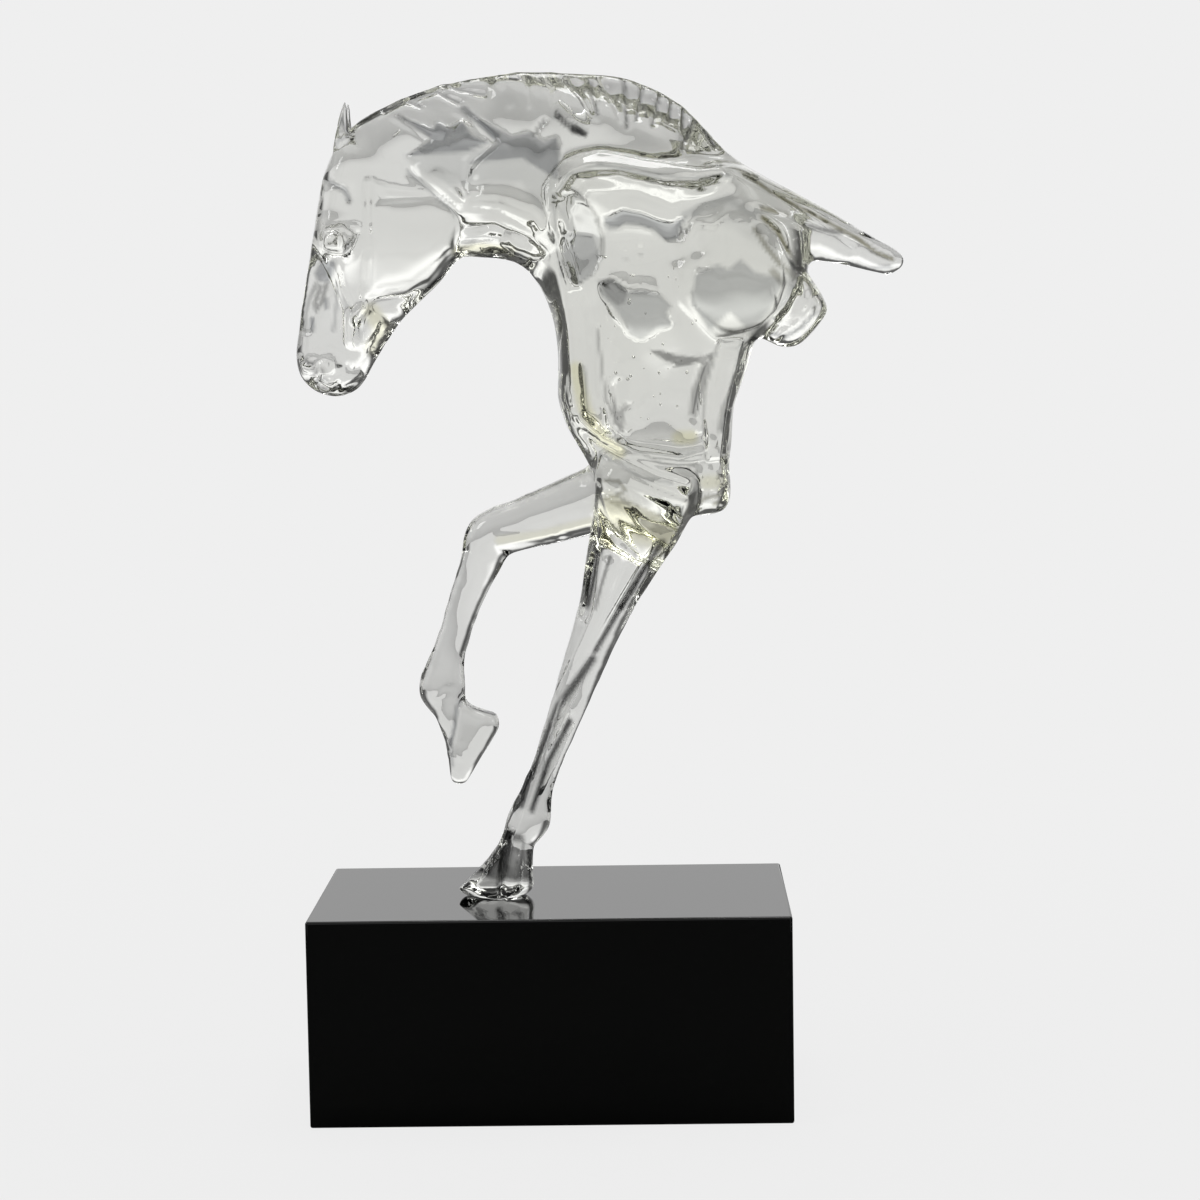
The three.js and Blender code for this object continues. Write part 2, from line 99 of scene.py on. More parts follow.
# Ridges and grooves as (side, height in mm, reach, points): a minus sign cuts a groove.
LINES = (
    # head
    ("both", -1.6, 0.4, ((-19.6, 88.0), (-17.6, 86.8), (-16.4, 86.2), (-15.9, 85.0))),
    ("both", -1.2, 0.4, ((-19.3, 80.0), (-18.1, 81.5), (-16.7, 82.0), (-14.9, 80.9))),
    ("both", -1.2, 0.4, ((-14.9, 80.9), (-15.5, 79.4), (-17.0, 78.5), (-18.8, 78.9))),
    ("both", 1.8, 0.45, (
        (-13.6, 87.0), (-13.5, 80.0), (-13.8, 74.2), (-14.5, 72.4), (-15.9, 70.8),
    )),
    ("both", 1.8, 0.45, ((-17.7, 77.2), (-17.2, 74.6), (-15.9, 71.4), (-16.0, 68.1))),
    ("near", 1.2, 0.4, ((-13.9, 78.0), (-14.6, 73.0), (-15.9, 67.8))),
    ("both", -1.6, 0.5, ((-14.0, 73.0), (-9.4, 73.4), (-6.4, 74.9), (-4.0, 77.4))),
    ("both", -2.0, 0.4, (
        (-20.5, 63.6), (-20.0, 62.8), (-18.9, 62.6), (-17.9, 63.0), (-17.2, 62.5), (-16.1, 63.0),
        (-15.2, 63.5),
    )),
    ("both", -2.2, 0.32, ((-21.8, 65.8), (-20.9, 65.4))),
    ("both", -1.6, 0.45, ((-13.9, 67.0), (-12.9, 66.2))),
    ("both", -1.3, 0.35, ((-19.4, 75.5), (-20.5, 71.7), (-21.3, 69.5))),
    ("near", -1.2, 0.35, ((-18.8, 73.5), (-19.2, 71.6))),
    ("both", -1.3, 0.5, ((-20.6, 80.4), (-19.5, 77.6), (-18.3, 74.6))),
    # neck and throat
    ("near", 1.7, 0.8, ((-1.9, 84.6), (-1.3, 86.6), (0.0, 89.0), (2.6, 91.0))),
    ("both", 3.6, 1.7, ((-5.4, 86.6), (-2.0, 84.2), (3.0, 83.6), (8.4, 81.2))),
    ("both", -1.5, 0.45, ((-8.8, 88.2), (-6.0, 85.8), (-3.0, 83.0))),
    ("both", -1.6, 0.5, ((-1.8, 81.6), (1.6, 81.9), (5.0, 80.2), (7.6, 78.0))),
    ("near", -1.7, 0.35, ((-2.6, 95.2), (-0.9, 93.9), (0.2, 92.2))),
    ("near", -1.4, 0.3, ((6.3, 92.1), (7.6, 93.9))),
    ("near", -1.5, 0.35, ((-10.4, 94.8), (-8.2, 93.4), (-7.0, 92.2))),
    # mane
    ("both", -1.6, 0.35, ((24.2, 95.2), (24.0, 92.7), (23.9, 90.1))),
    ("both", -1.4, 0.35, ((22.8, 96.4), (22.4, 93.4))),
    ("both", -1.6, 0.35, ((21.4, 97.0), (20.5, 93.0))),
    ("both", -1.4, 0.35, ((19.4, 98.0), (18.6, 93.7))),
    ("near", -1.5, 0.35, ((17.2, 98.8), (17.5, 92.8))),
    ("both", -1.3, 0.35, ((14.3, 99.0), (16.7, 93.5))),
    ("near", -1.3, 0.35, ((13.1, 99.0), (14.0, 93.8))),
    ("both", -1.4, 0.35, ((10.4, 99.0), (13.3, 94.0))),
    ("both", -1.5, 0.35, ((25.5, 94.0), (24.3, 91.1))),
    ("both", -1.5, 0.35, ((26.5, 93.0), (27.9, 90.7))),
    ("far", -1.2, 0.35, ((7.7, 99.0), (8.9, 95.1))),
    ("both", -1.0, 0.4, ((5.3, 99.0), (5.9, 95.6))),
    ("both", 3.4, 2.0, ((3.0, 97.4), (8.0, 96.8), (13.0, 95.7), (18.0, 94.2), (23.6, 91.2))),
    ("near", -1.0, 0.45, ((2.6, 98.8), (3.6, 95.8))),
    ("near", -1.7, 0.4, ((-11.6, 95.6), (-9.3, 96.9), (-7.2, 96.0))),
    ("near", -1.8, 0.4, ((-8.1, 97.0), (-5.4, 97.9), (-2.6, 96.4))),
    ("near", -1.6, 0.4, ((-4.6, 98.6), (-2.3, 98.0), (0.6, 97.2))),
    # shoulder
    ("near", -2.4, 1.3, SHOULDER_GROOVE),
    ("far", -1.6, 1.6, SHOULDER_GROOVE),
    ("near", 1.4, 0.5, ((24.3, 78.9), (25.6, 81.6), (27.8, 81.2), (29.2, 82.6), (32.0, 81.6))),
    # back edge, belly and breast
    ("near", -1.5, 0.5, ((26.4, 64.8), (25.4, 61.6), (24.8, 58.6))),
    ("both", 1.8, 0.55, ((11.6, 58.6), (14.4, 56.0), (18.1, 54.4), (23.2, 53.6), (26.1, 54.2))),
    ("both", -1.8, 0.45, ((11.8, 56.6), (14.6, 54.6), (17.3, 53.0), (20.6, 51.4), (24.1, 50.4))),
    ("near", 1.4, 0.5, ((17.8, 51.9), (20.6, 50.3), (23.8, 49.0))),
    ("both", -1.8, 0.35, ((13.6, 69.4), (13.9, 62.0), (15.2, 57.4), (16.6, 56.2))),
    ("near", -1.6, 0.35, ((11.9, 64.8), (12.3, 59.3))),
    ("near", -1.6, 0.3, ((15.2, 62.4), (15.9, 58.6), (17.4, 59.9))),
    ("far", -1.3, 0.5, ((16.0, 63.0), (16.6, 58.0), (18.4, 55.8))),
    # spur and rib
    ("both", -1.6, 0.4, ((30.1, 87.4), (37.1, 83.6), (43.0, 80.0), (48.7, 77.0))),
    ("both", -1.4, 0.4, ((33.0, 83.0), (37.1, 81.6), (42.2, 79.7), (44.4, 78.2))),
    ("near", -1.8, 0.45, ((33.4, 81.6), (35.6, 79.6), (36.8, 77.2), (38.4, 75.4))),
    ("both", 1.2, 0.45, ((37.9, 75.7), (39.3, 73.3), (37.5, 69.6), (34.8, 67.6))),
    # standing leg
    ("near", -2.4, 0.42, ((20.4, 43.4), (16.0, 36.0), (12.4, 29.9), (8.2, 24.6), (4.6, 15.2))),
    ("near", -2.0, 0.38, ((4.6, 15.2), (3.4, 11.0), (2.3, 8.4))),
    ("near", -2.6, 0.42, ((13.1, 42.5), (12.4, 38.6), (11.4, 34.6))),
    ("near", 1.8, 0.6, ((14.6, 41.0), (12.9, 35.0), (10.2, 29.0), (6.8, 22.0))),
    ("near", -1.8, 0.34, ((9.7, 22.6), (6.6, 16.6), (4.4, 10.6))),
    ("far", -1.8, 0.5, ((17.0, 42.0), (10.4, 27.0), (6.4, 15.0))),
    ("near", -2.2, 0.45, ((13.3, 50.0), (14.5, 46.5), (18.0, 42.4))),
    ("near", -1.8, 0.35, ((17.0, 49.6), (19.2, 46.4), (22.6, 45.2))),
    ("near", 1.5, 0.45, ((15.4, 48.6), (18.0, 46.0), (21.4, 43.6))),
    ("near", -2.4, 0.36, ((1.9, 8.2), (1.3, 4.4), (0.6, 0.9))),
    ("near", -1.8, 0.32, ((3.4, 7.2), (3.1, 4.0), (2.7, 0.9))),
    ("far", -1.4, 0.4, ((1.4, 7.4), (0.4, 1.2))),
    # raised leg and hoof
    ("both", 1.3, 0.6, ((1.0, 43.2), (6.0, 43.9), (12.0, 45.4))),
    ("both", -1.3, 0.35, ((-3.6, 24.6), (-4.6, 22.6), (-4.9, 20.6), (-5.4, 18.6))),
)

# Bosses and dishes with a crisp edge, as (side, height in mm, width of the curve, corners).
AREAS = (
    # eye, eyelid and cheek
    ("both", 1.4, 0.6, (
        (-19.2, 80.4), (-19.0, 81.2), (-18.2, 82.0), (-16.8, 82.3), (-15.4, 82.1), (-14.4, 82.0),
        (-15.0, 80.6), (-16.2, 78.5), (-17.8, 78.4), (-19.0, 79.0),
    )),
    ("both", 2.4, 0.8, (
        (-16.6, 80.1), (-16.9, 81.0), (-17.8, 81.3), (-18.7, 81.0), (-19.0, 80.1), (-18.7, 79.2),
        (-17.8, 78.9), (-16.9, 79.2),
    )),
    # nostril rim, the boss behind it and the lip below
    ("both", 2.4, 0.6, (
        (-20.3, 65.3), (-20.6, 66.0), (-21.3, 66.3), (-22.0, 66.0), (-22.3, 65.3), (-22.0, 64.6),
        (-21.3, 64.3), (-20.6, 64.6),
    )),
    ("both", 2.2, 0.6, (
        (-18.6, 65.2), (-18.8, 65.8), (-19.4, 66.1), (-20.0, 65.8), (-20.2, 65.2), (-20.0, 64.6),
        (-19.4, 64.3), (-18.8, 64.6),
    )),
    ("both", 1.6, 0.6, (
        (-20.9, 63.4), (-19.8, 64.0), (-18.6, 63.6), (-17.4, 63.9), (-15.4, 64.6), (-14.6, 63.4),
        (-17.2, 61.6), (-20.0, 61.8),
    )),
    ("both", 2.2, 1.8, (
        (-12.9, 84.2), (-12.2, 84.7), (-6.7, 84.8), (-3.7, 83.7), (-2.9, 82.0), (-3.8, 79.1),
        (-6.3, 76.9), (-8.6, 75.1), (-13.4, 74.3), (-13.3, 78.4),
    )),
    ("both", 1.2, 0.8, ((-13.2, 87.2), (-9.8, 86.4), (-6.4, 85.6), (-8.6, 85.3), (-12.4, 85.5))),
    ("both", 1.8, 1.0, (
        (-16.6, 72.0), (-14.4, 72.4), (-12.4, 70.6), (-14.3, 66.6), (-16.4, 64.4), (-17.0, 68.0),
    )),
    # folds of the neck
    ("near", 3.8, 3.6, (
        (-9.0, 90.0), (-7.5, 91.0), (-6.0, 92.0), (-9.9, 94.9), (-5.6, 93.3), (-5.2, 94.2),
        (-4.0, 93.5), (-2.2, 94.2), (-1.1, 92.5), (1.0, 91.4), (-2.2, 89.4), (-2.6, 86.6),
        (-1.7, 84.4), (-2.8, 83.3), (-8.0, 88.0),
    )),
    ("near", 4.2, 3.8, (
        (-1.9, 86.6), (-1.2, 88.6), (1.9, 91.0), (-1.7, 95.4), (2.4, 92.9), (3.7, 92.2),
        (6.0, 92.6), (7.4, 91.2), (9.2, 92.0), (9.6, 89.5), (9.2, 84.5), (7.5, 80.6), (2.1, 83.2),
        (-1.1, 83.6),
    )),
    ("far", 3.0, 3.4, (
        (-8.0, 90.0), (-2.0, 92.8), (3.7, 92.0), (9.6, 91.0), (9.2, 84.5), (7.5, 80.6),
        (2.1, 82.9), (-2.8, 83.5),
    )),
    ("both", 2.0, 1.0, ((-3.4, 78.6), (-2.5, 80.0), (2.1, 80.1), (3.5, 78.4), (1.0, 77.8))),
    ("both", 2.6, 1.3, (
        (2.0, 79.8), (3.6, 81.0), (6.0, 80.0), (7.8, 78.0), (6.2, 77.4), (3.8, 78.2),
    )),
    # raised rim round the shoulder
    ("both", 2.6, 1.1, (
        (10.2, 73.9), (8.6, 79.7), (8.0, 85.6), (9.9, 88.8), (14.3, 90.1), (19.7, 88.9),
        (25.6, 88.1), (29.5, 88.3), (28.8, 86.6), (25.6, 85.7), (22.2, 85.8), (16.3, 87.3),
        (11.5, 87.0), (9.5, 84.8), (9.9, 79.3), (11.6, 74.3),
    )),
    ("near", 1.2, 0.8, ((25.6, 87.2), (28.9, 87.7), (30.2, 86.9), (28.9, 85.9), (26.2, 86.0))),
    # hollow in front of the shoulder
    ("near", -3.2, 1.8, (
        (9.9, 85.2), (11.1, 85.5), (12.5, 84.2), (13.8, 82.2), (14.4, 79.9), (14.2, 77.6),
        (13.3, 75.6), (11.6, 74.4), (10.3, 74.9), (9.8, 77.1), (9.6, 80.5), (9.6, 83.4),
    )),
    ("near", 1.8, 1.4, (
        (10.0, 80.6), (11.0, 80.4), (13.3, 80.0), (14.0, 77.6), (13.1, 75.8), (11.6, 74.7),
        (10.4, 75.3), (9.9, 77.7),
    )),
    # shoulder muscle
    ("near", -2.2, 1.0, SHOULDER_BAND),
    ("near", 3.2, 3.6, (
        (22.8, 79.4), (25.1, 81.5), (29.0, 82.4), (33.3, 80.9), (35.6, 77.3), (36.0, 73.9),
        (35.0, 71.0), (33.0, 69.2), (29.7, 68.2), (27.8, 67.8), (25.4, 70.7), (23.6, 73.4),
    )),
    ("far", 2.8, 3.8, (
        (22.8, 79.4), (25.1, 81.5), (29.0, 82.4), (33.3, 80.9), (35.6, 77.3), (36.0, 73.9),
        (35.0, 71.0), (33.0, 69.2), (29.7, 68.4), (27.8, 67.8), (25.4, 70.7), (22.6, 72.4),
    )),
    ("near", 2.4, 2.2, (
        (25.4, 75.7), (27.1, 76.2), (28.3, 75.1), (30.6, 75.5), (34.1, 74.4), (34.9, 71.4),
        (33.1, 69.3), (29.9, 68.6), (28.5, 69.0), (27.1, 69.9), (25.3, 71.7), (24.9, 73.4),
    )),
    # fold beside it
    ("near", 2.4, 1.5, CHEST_FOLD),
    ("far", 2.0, 1.8, ((15.6, 75.4), (20.4, 74.4), (21.6, 70.8), (18.6, 68.6), (16.4, 70.8))),
    # strip behind the ribs
    ("both", 2.4, 0.8, (
        (28.2, 67.6), (27.2, 64.7), (26.3, 61.9), (26.1, 58.4), (26.4, 53.2), (28.2, 53.1),
        (28.6, 56.6), (29.3, 60.6), (30.2, 64.1), (31.0, 67.5),
    )),
    ("near", 1.6, 0.9, ((26.2, 52.2), (28.4, 53.4), (29.0, 50.8), (27.6, 49.2), (25.6, 49.8))),
    ("both", 1.5, 0.8, ((34.6, 70.2), (36.8, 74.4), (38.0, 74.0), (38.6, 71.4), (36.2, 69.0))),
    # elbow
    ("near", 2.8, 1.5, (
        (13.2, 49.6), (13.4, 43.8), (15.5, 42.7), (18.4, 40.8), (20.8, 42.0), (23.6, 45.4),
        (22.0, 48.3), (17.0, 50.3),
    )),
    ("near", -1.8, 0.9, ((14.4, 45.8), (16.6, 44.4), (18.2, 42.2), (15.6, 43.4))),
    # hooves
    ("near", 1.4, 0.7, (
        (-4.1, 24.0), (-0.8, 22.9), (-0.3, 21.6), (-3.4, 17.1), (-4.6, 15.6), (-5.0, 18.4),
        (-4.4, 21.0),
    )),
    ("near", 1.6, 0.8, ((-2.4, 1.6), (0.2, 6.0), (1.1, 6.2), (0.6, 1.6))),
)

# Round dents and bumps as (side, height in mm, reach, (u, v)).
DOTS = (
    ("both", -1.8, 0.6, (-19.8, 63.2)),
    ("both", -1.4, 0.4, (-17.7, 63.3)),
    ("both", -1.4, 0.5, (-17.0, 65.1)),
    ("near", -2.0, 0.9, (-0.9, 86.6)),
    ("both", 1.8, 1.0, (4.6, 79.4)),
    ("near", -1.6, 0.7, (23.4, 77.2)),
    ("near", -1.4, 0.6, (26.6, 76.0)),
    ("near", -1.5, 0.6, (26.0, 78.0)),
    ("near", -1.3, 0.5, (17.1, 77.8)),
    ("near", -1.3, 0.5, (18.9, 78.3)),
    ("near", 1.4, 0.6, (25.0, 57.2)),
)

# Crackled spots as (height in mm, reach, (u, v)), where the cast didn't flow out.
CRACKLES = (
    (0.9, 1.2, (-16.4, 93.0)),
    (1.0, 0.9, (-17.8, 80.0)),
    (0.9, 1.5, (-12.2, 69.6)),
    (0.9, 1.2, (-18.0, 62.6)),
    (0.8, 1.6, (-3.6, 78.4)),
    (0.7, 1.6, (3.2, 79.2)),
    (0.6, 2.2, (17.8, 95.6)),
    (0.7, 2.0, (-3.6, 97.8)),
    (0.8, 1.5, (17.8, 74.6)),
    (0.5, 1.0, (22.4, 65.4)),
    (0.5, 0.8, (25.4, 65.2)),
    (0.8, 1.2, (33.6, 80.4)),
    (1.0, 2.0, (11.6, 60.4)),
    (0.9, 1.4, (14.0, 55.8)),
    (1.0, 1.4, (25.2, 57.0)),
    (1.0, 1.8, (27.4, 51.2)),
    (0.5, 1.4, (15.0, 49.4)),
    (0.5, 1.6, (21.4, 44.6)),
    (0.6, 1.6, (8.0, 44.2)),
    (0.8, 1.4, (-5.4, 17.4)),
    (0.7, 1.4, (-6.6, 24.6)),
    (0.6, 1.2, (1.2, 4.6)),
)

# Painted shade and glint colours, as the share of red, green and blue that a full coat lets
# through.
# Grey, black and olive are painted shade, and the straw yellow is a painted glint.
PAINTED_GREY_SHADE = (0.15, 0.16, 0.18)
PAINTED_BLACK_SHADE = (0.0, 0.0, 0.0)
PAINTED_YELLOW_GLINT = (0.91, 0.87, 0.52)
PAINTED_OLIVE_SHADE = (0.10, 0.09, 0.03)

# Streaks of painted shade and painted glint as (side, painted colour, strength, reach, points).
PAINTED_SHADE_AND_GLINT_STREAKS = (
    # head
    ("near", PAINTED_GREY_SHADE, 0.8, 0.4, ((-19.9, 88.2), (-17.6, 86.8), (-16.4, 86.2), (-15.9, 85.0))),
    ("near", PAINTED_BLACK_SHADE, 0.7, 0.5, ((-20.1, 82.4), (-20.2, 81.0))),
    ("near", PAINTED_BLACK_SHADE, 0.85, 0.3, ((-20.4, 78.8), (-20.0, 78.2), (-19.4, 77.9), (-18.4, 78.9))),
    ("near", PAINTED_BLACK_SHADE, 0.75, 0.32, (
        (-19.0, 74.8), (-19.7, 72.7), (-20.4, 71.9), (-20.5, 72.7), (-19.7, 74.6),
    )),
    ("near", PAINTED_BLACK_SHADE, 0.65, 0.35, ((-20.3, 74.9), (-21.2, 73.3), (-21.8, 71.5), (-21.9, 69.5))),
    ("near", PAINTED_GREY_SHADE, 0.85, 0.35, ((-19.1, 73.1), (-19.1, 72.2))),
    ("near", PAINTED_GREY_SHADE, 0.9, 0.38, ((-20.9, 70.8), (-20.9, 69.6))),
    ("near", PAINTED_GREY_SHADE, 0.6, 0.26, ((-17.7, 74.2), (-17.9, 71.9), (-18.3, 69.4))),
    ("near", PAINTED_GREY_SHADE, 0.6, 0.25, ((-17.7, 92.2), (-16.8, 94.8), (-15.9, 92.6), (-17.5, 91.9))),
    ("near", PAINTED_BLACK_SHADE, 0.6, 0.3, ((-22.4, 70.2), (-22.9, 66.8))),
    ("near", PAINTED_BLACK_SHADE, 0.85, 0.32, ((-21.8, 65.8), (-20.9, 65.4))),
    ("near", PAINTED_BLACK_SHADE, 0.7, 0.3, ((-20.5, 64.6), (-20.5, 64.3))),
    ("near", PAINTED_BLACK_SHADE, 0.7, 0.3, ((-19.6, 64.8), (-19.6, 64.4))),
    ("near", PAINTED_BLACK_SHADE, 0.8, 0.4, ((-14.1, 66.7), (-13.4, 66.4), (-13.0, 66.0))),
    ("near", PAINTED_BLACK_SHADE, 0.8, 0.3, (
        (-20.6, 63.2), (-20.0, 62.4), (-18.9, 62.2), (-17.9, 62.6), (-17.2, 62.1), (-16.1, 62.7),
        (-15.2, 63.2),
    )),
    ("near", PAINTED_YELLOW_GLINT, 0.7, 1.1, ((-13.6, 71.6), (-12.2, 69.4), (-13.4, 67.2))),
    # folds of the neck
    ("near", PAINTED_GREY_SHADE, 0.6, 0.3, ((-8.8, 88.2), (-6.0, 85.8), (-3.0, 83.0))),
    ("near", PAINTED_BLACK_SHADE, 0.5, 0.3, ((-9.9, 94.9), (-8.2, 93.6), (-6.2, 92.4))),
    ("near", PAINTED_GREY_SHADE, 0.8, 0.45, ((-2.0, 95.6), (0.2, 93.6), (2.0, 92.2))),
    ("near", PAINTED_BLACK_SHADE, 0.7, 0.25, ((6.4, 92.2), (7.6, 93.9))),
    ("near", PAINTED_YELLOW_GLINT, 0.8, 0.7, ((-3.2, 78.6), (0.0, 78.9), (3.4, 78.4))),
    ("near", PAINTED_GREY_SHADE, 0.5, 0.4, ((-3.0, 78.8), (-1.2, 79.6))),
    # mane
    ("near", PAINTED_BLACK_SHADE, 0.92, 0.3, ((24.2, 95.2), (24.0, 92.7), (23.9, 90.1))),
    ("near", PAINTED_BLACK_SHADE, 0.85, 0.26, ((22.8, 96.4), (22.4, 93.4))),
    ("near", PAINTED_BLACK_SHADE, 0.85, 0.26, ((21.4, 97.0), (20.5, 93.0))),
    ("near", PAINTED_BLACK_SHADE, 0.85, 0.26, ((19.4, 98.0), (18.6, 93.7))),
    ("near", PAINTED_BLACK_SHADE, 0.85, 0.26, ((17.2, 98.8), (17.5, 92.8))),
    ("near", PAINTED_BLACK_SHADE, 0.85, 0.26, ((13.1, 98.6), (14.0, 94.6))),
    ("near", PAINTED_BLACK_SHADE, 0.92, 0.3, ((25.5, 94.0), (24.3, 91.1))),
    ("near", PAINTED_BLACK_SHADE, 0.92, 0.3, ((26.5, 93.0), (27.9, 90.7))),
    ("near", PAINTED_BLACK_SHADE, 0.5, 0.25, ((-11.6, 95.6), (-9.3, 96.8), (-7.2, 96.0))),
    ("near", PAINTED_BLACK_SHADE, 0.5, 0.3, ((-8.1, 97.0), (-5.4, 97.7), (-2.6, 96.4))),
    ("near", PAINTED_BLACK_SHADE, 0.4, 0.25, ((-4.6, 98.4), (-2.3, 97.9), (0.6, 97.2))),
    ("both", PAINTED_BLACK_SHADE, 0.95, 0.26, ((9.1, 94.3), (10.4, 93.2), (12.6, 92.0))),
    ("both", PAINTED_BLACK_SHADE, 0.95, 0.38, ((11.0, 92.6), (12.2, 92.2))),
    # shoulder
    ("near", PAINTED_GREY_SHADE, 0.5, 0.28, ((9.6, 75.4), (8.9, 79.7), (8.8, 84.4), (10.4, 87.2), (14.3, 88.4))),
    ("near", PAINTED_GREY_SHADE, 0.6, 0.3, ((14.3, 88.4), (19.7, 87.2), (25.6, 86.6), (29.5, 87.0))),
    ("near", PAINTED_GREY_SHADE, 0.5, 0.6, ((24.3, 82.3), (27.0, 83.4), (29.4, 84.2), (32.8, 82.2))),
    ("near", PAINTED_BLACK_SHADE, 0.6, 0.3, ((11.0, 85.5), (12.6, 84.3), (13.9, 82.2), (14.5, 79.9), (14.3, 77.6))),
    ("near", PAINTED_GREY_SHADE, 0.5, 0.25, ((24.9, 73.4), (25.1, 71.7), (27.1, 69.9), (28.5, 68.6))),
    # back edge, belly and breast
    ("near", PAINTED_BLACK_SHADE, 0.5, 0.22, (
        (28.2, 67.6), (27.2, 64.7), (26.3, 61.9), (26.1, 58.4), (26.4, 53.2),
    )),
    ("near", PAINTED_GREY_SHADE, 0.7, 0.25, ((31.0, 67.5), (30.2, 64.1), (29.3, 60.6), (28.5, 56.6))),
    ("near", PAINTED_BLACK_SHADE, 0.6, 0.2, ((13.6, 69.0), (14.0, 65.5), (14.5, 60.9), (15.9, 57.4), (16.5, 56.8))),
    ("near", PAINTED_GREY_SHADE, 0.7, 0.25, ((11.9, 64.8), (12.3, 59.3))),
    ("near", PAINTED_BLACK_SHADE, 0.4, 0.22, (
        (16.4, 54.5), (18.8, 54.2), (21.1, 53.0), (24.0, 52.4), (26.2, 53.2),
    )),
    ("near", PAINTED_GREY_SHADE, 0.5, 0.25, ((12.9, 54.3), (15.8, 53.2), (18.7, 51.3), (22.2, 50.7))),
    ("near", PAINTED_YELLOW_GLINT, 0.9, 0.9, ((11.0, 64.4), (12.0, 59.6), (14.0, 55.9), (16.0, 54.4))),
    ("near", PAINTED_YELLOW_GLINT, 0.9, 0.9, ((23.2, 56.0), (24.6, 56.0))),
    ("near", PAINTED_YELLOW_GLINT, 0.6, 0.9, ((26.4, 50.6), (28.6, 50.6))),
    # spur and rib
    ("near", PAINTED_OLIVE_SHADE, 0.92, 0.34, (
        (29.4, 88.7), (32.3, 86.6), (34.7, 84.8), (38.0, 83.2), (41.2, 81.5), (45.0, 79.4),
        (47.3, 77.7), (49.2, 76.9),
    )),
    ("near", PAINTED_OLIVE_SHADE, 0.9, 0.4, ((33.4, 83.0), (36.4, 82.3))),
    ("near", PAINTED_BLACK_SHADE, 0.85, 0.34, ((38.4, 81.0), (40.2, 80.6), (42.9, 80.1))),
    ("near", PAINTED_OLIVE_SHADE, 0.95, 0.42, ((33.4, 81.9), (35.2, 80.2), (36.3, 78.1), (38.1, 76.0))),
    ("near", PAINTED_OLIVE_SHADE, 0.8, 0.4, ((32.5, 80.5), (33.9, 78.2), (35.4, 76.4), (37.5, 74.8))),
    ("near", PAINTED_GREY_SHADE, 0.7, 0.25, ((42.6, 76.9), (46.1, 75.8), (49.0, 76.0))),
    ("near", PAINTED_OLIVE_SHADE, 0.85, 0.35, ((38.4, 75.1), (40.5, 71.8))),
    ("near", PAINTED_GREY_SHADE, 0.75, 0.3, ((34.6, 68.2), (36.2, 67.8), (38.2, 69.0), (39.8, 70.6))),
    ("near", PAINTED_OLIVE_SHADE, 0.7, 0.5, ((34.5, 75.5), (35.7, 74.3))),
    # elbow
    ("near", PAINTED_YELLOW_GLINT, 0.7, 2.0, ((14.8, 47.6), (18.0, 45.4), (21.6, 44.4))),
    ("near", PAINTED_BLACK_SHADE, 0.4, 0.25, ((13.4, 50.2), (13.2, 46.8), (13.3, 43.6))),
    ("near", PAINTED_BLACK_SHADE, 0.5, 0.25, ((13.4, 49.8), (14.6, 46.4), (18.0, 42.2))),
    ("near", PAINTED_BLACK_SHADE, 0.4, 0.22, ((15.6, 49.6), (18.8, 46.6), (23.0, 45.6))),
    ("near", PAINTED_YELLOW_GLINT, 0.5, 0.6, ((1.0, 43.4), (6.0, 44.0), (12.4, 45.6))),
    ("near", PAINTED_OLIVE_SHADE, 0.7, 0.26, (
        (13.7, 51.0), (15.9, 51.0), (16.7, 50.0), (15.7, 49.3), (13.9, 48.9),
    )),
    ("near", PAINTED_OLIVE_SHADE, 0.7, 0.3, ((24.3, 47.0), (26.3, 48.7), (28.7, 49.1))),
    ("near", PAINTED_OLIVE_SHADE, 0.8, 0.4, ((27.5, 47.9), (28.9, 47.9), (29.1, 50.0))),
    # standing leg
    ("near", PAINTED_BLACK_SHADE, 0.99, 0.6, ((21.0, 43.6), (18.6, 40.0), (16.0, 35.8))),
    ("near", PAINTED_BLACK_SHADE, 0.97, 0.4, ((16.0, 35.8), (12.8, 30.4))),
    ("near", PAINTED_BLACK_SHADE, 0.98, 0.6, ((12.4, 29.4), (8.2, 23.6), (4.8, 15.2), (3.4, 11.4))),
    ("near", PAINTED_BLACK_SHADE, 0.99, 0.45, ((9.5, 21.8), (6.8, 16.8), (4.7, 10.8))),
    ("near", PAINTED_BLACK_SHADE, 0.97, 0.6, ((13.4, 42.6), (12.8, 39.4), (11.9, 36.0))),
    ("near", PAINTED_BLACK_SHADE, 0.8, 0.25, ((14.8, 42.0), (13.6, 38.4), (12.9, 35.8))),
    ("near", PAINTED_BLACK_SHADE, 0.9, 0.6, ((1.0, 8.4), (2.0, 7.6), (3.2, 7.4))),
    ("near", PAINTED_BLACK_SHADE, 0.99, 0.5, ((2.0, 7.8), (1.3, 4.4), (0.5, 1.2))),
    ("near", PAINTED_BLACK_SHADE, 0.6, 0.25, ((3.6, 7.0), (3.2, 4.0), (2.8, 1.2))),
    # raised hoof
    ("near", PAINTED_GREY_SHADE, 0.8, 0.28, ((-3.7, 24.6), (-4.7, 22.6), (-5.0, 20.4), (-5.6, 18.0))),
    ("near", PAINTED_GREY_SHADE, 0.6, 0.3, ((-5.6, 18.6), (-5.4, 15.4))),
)
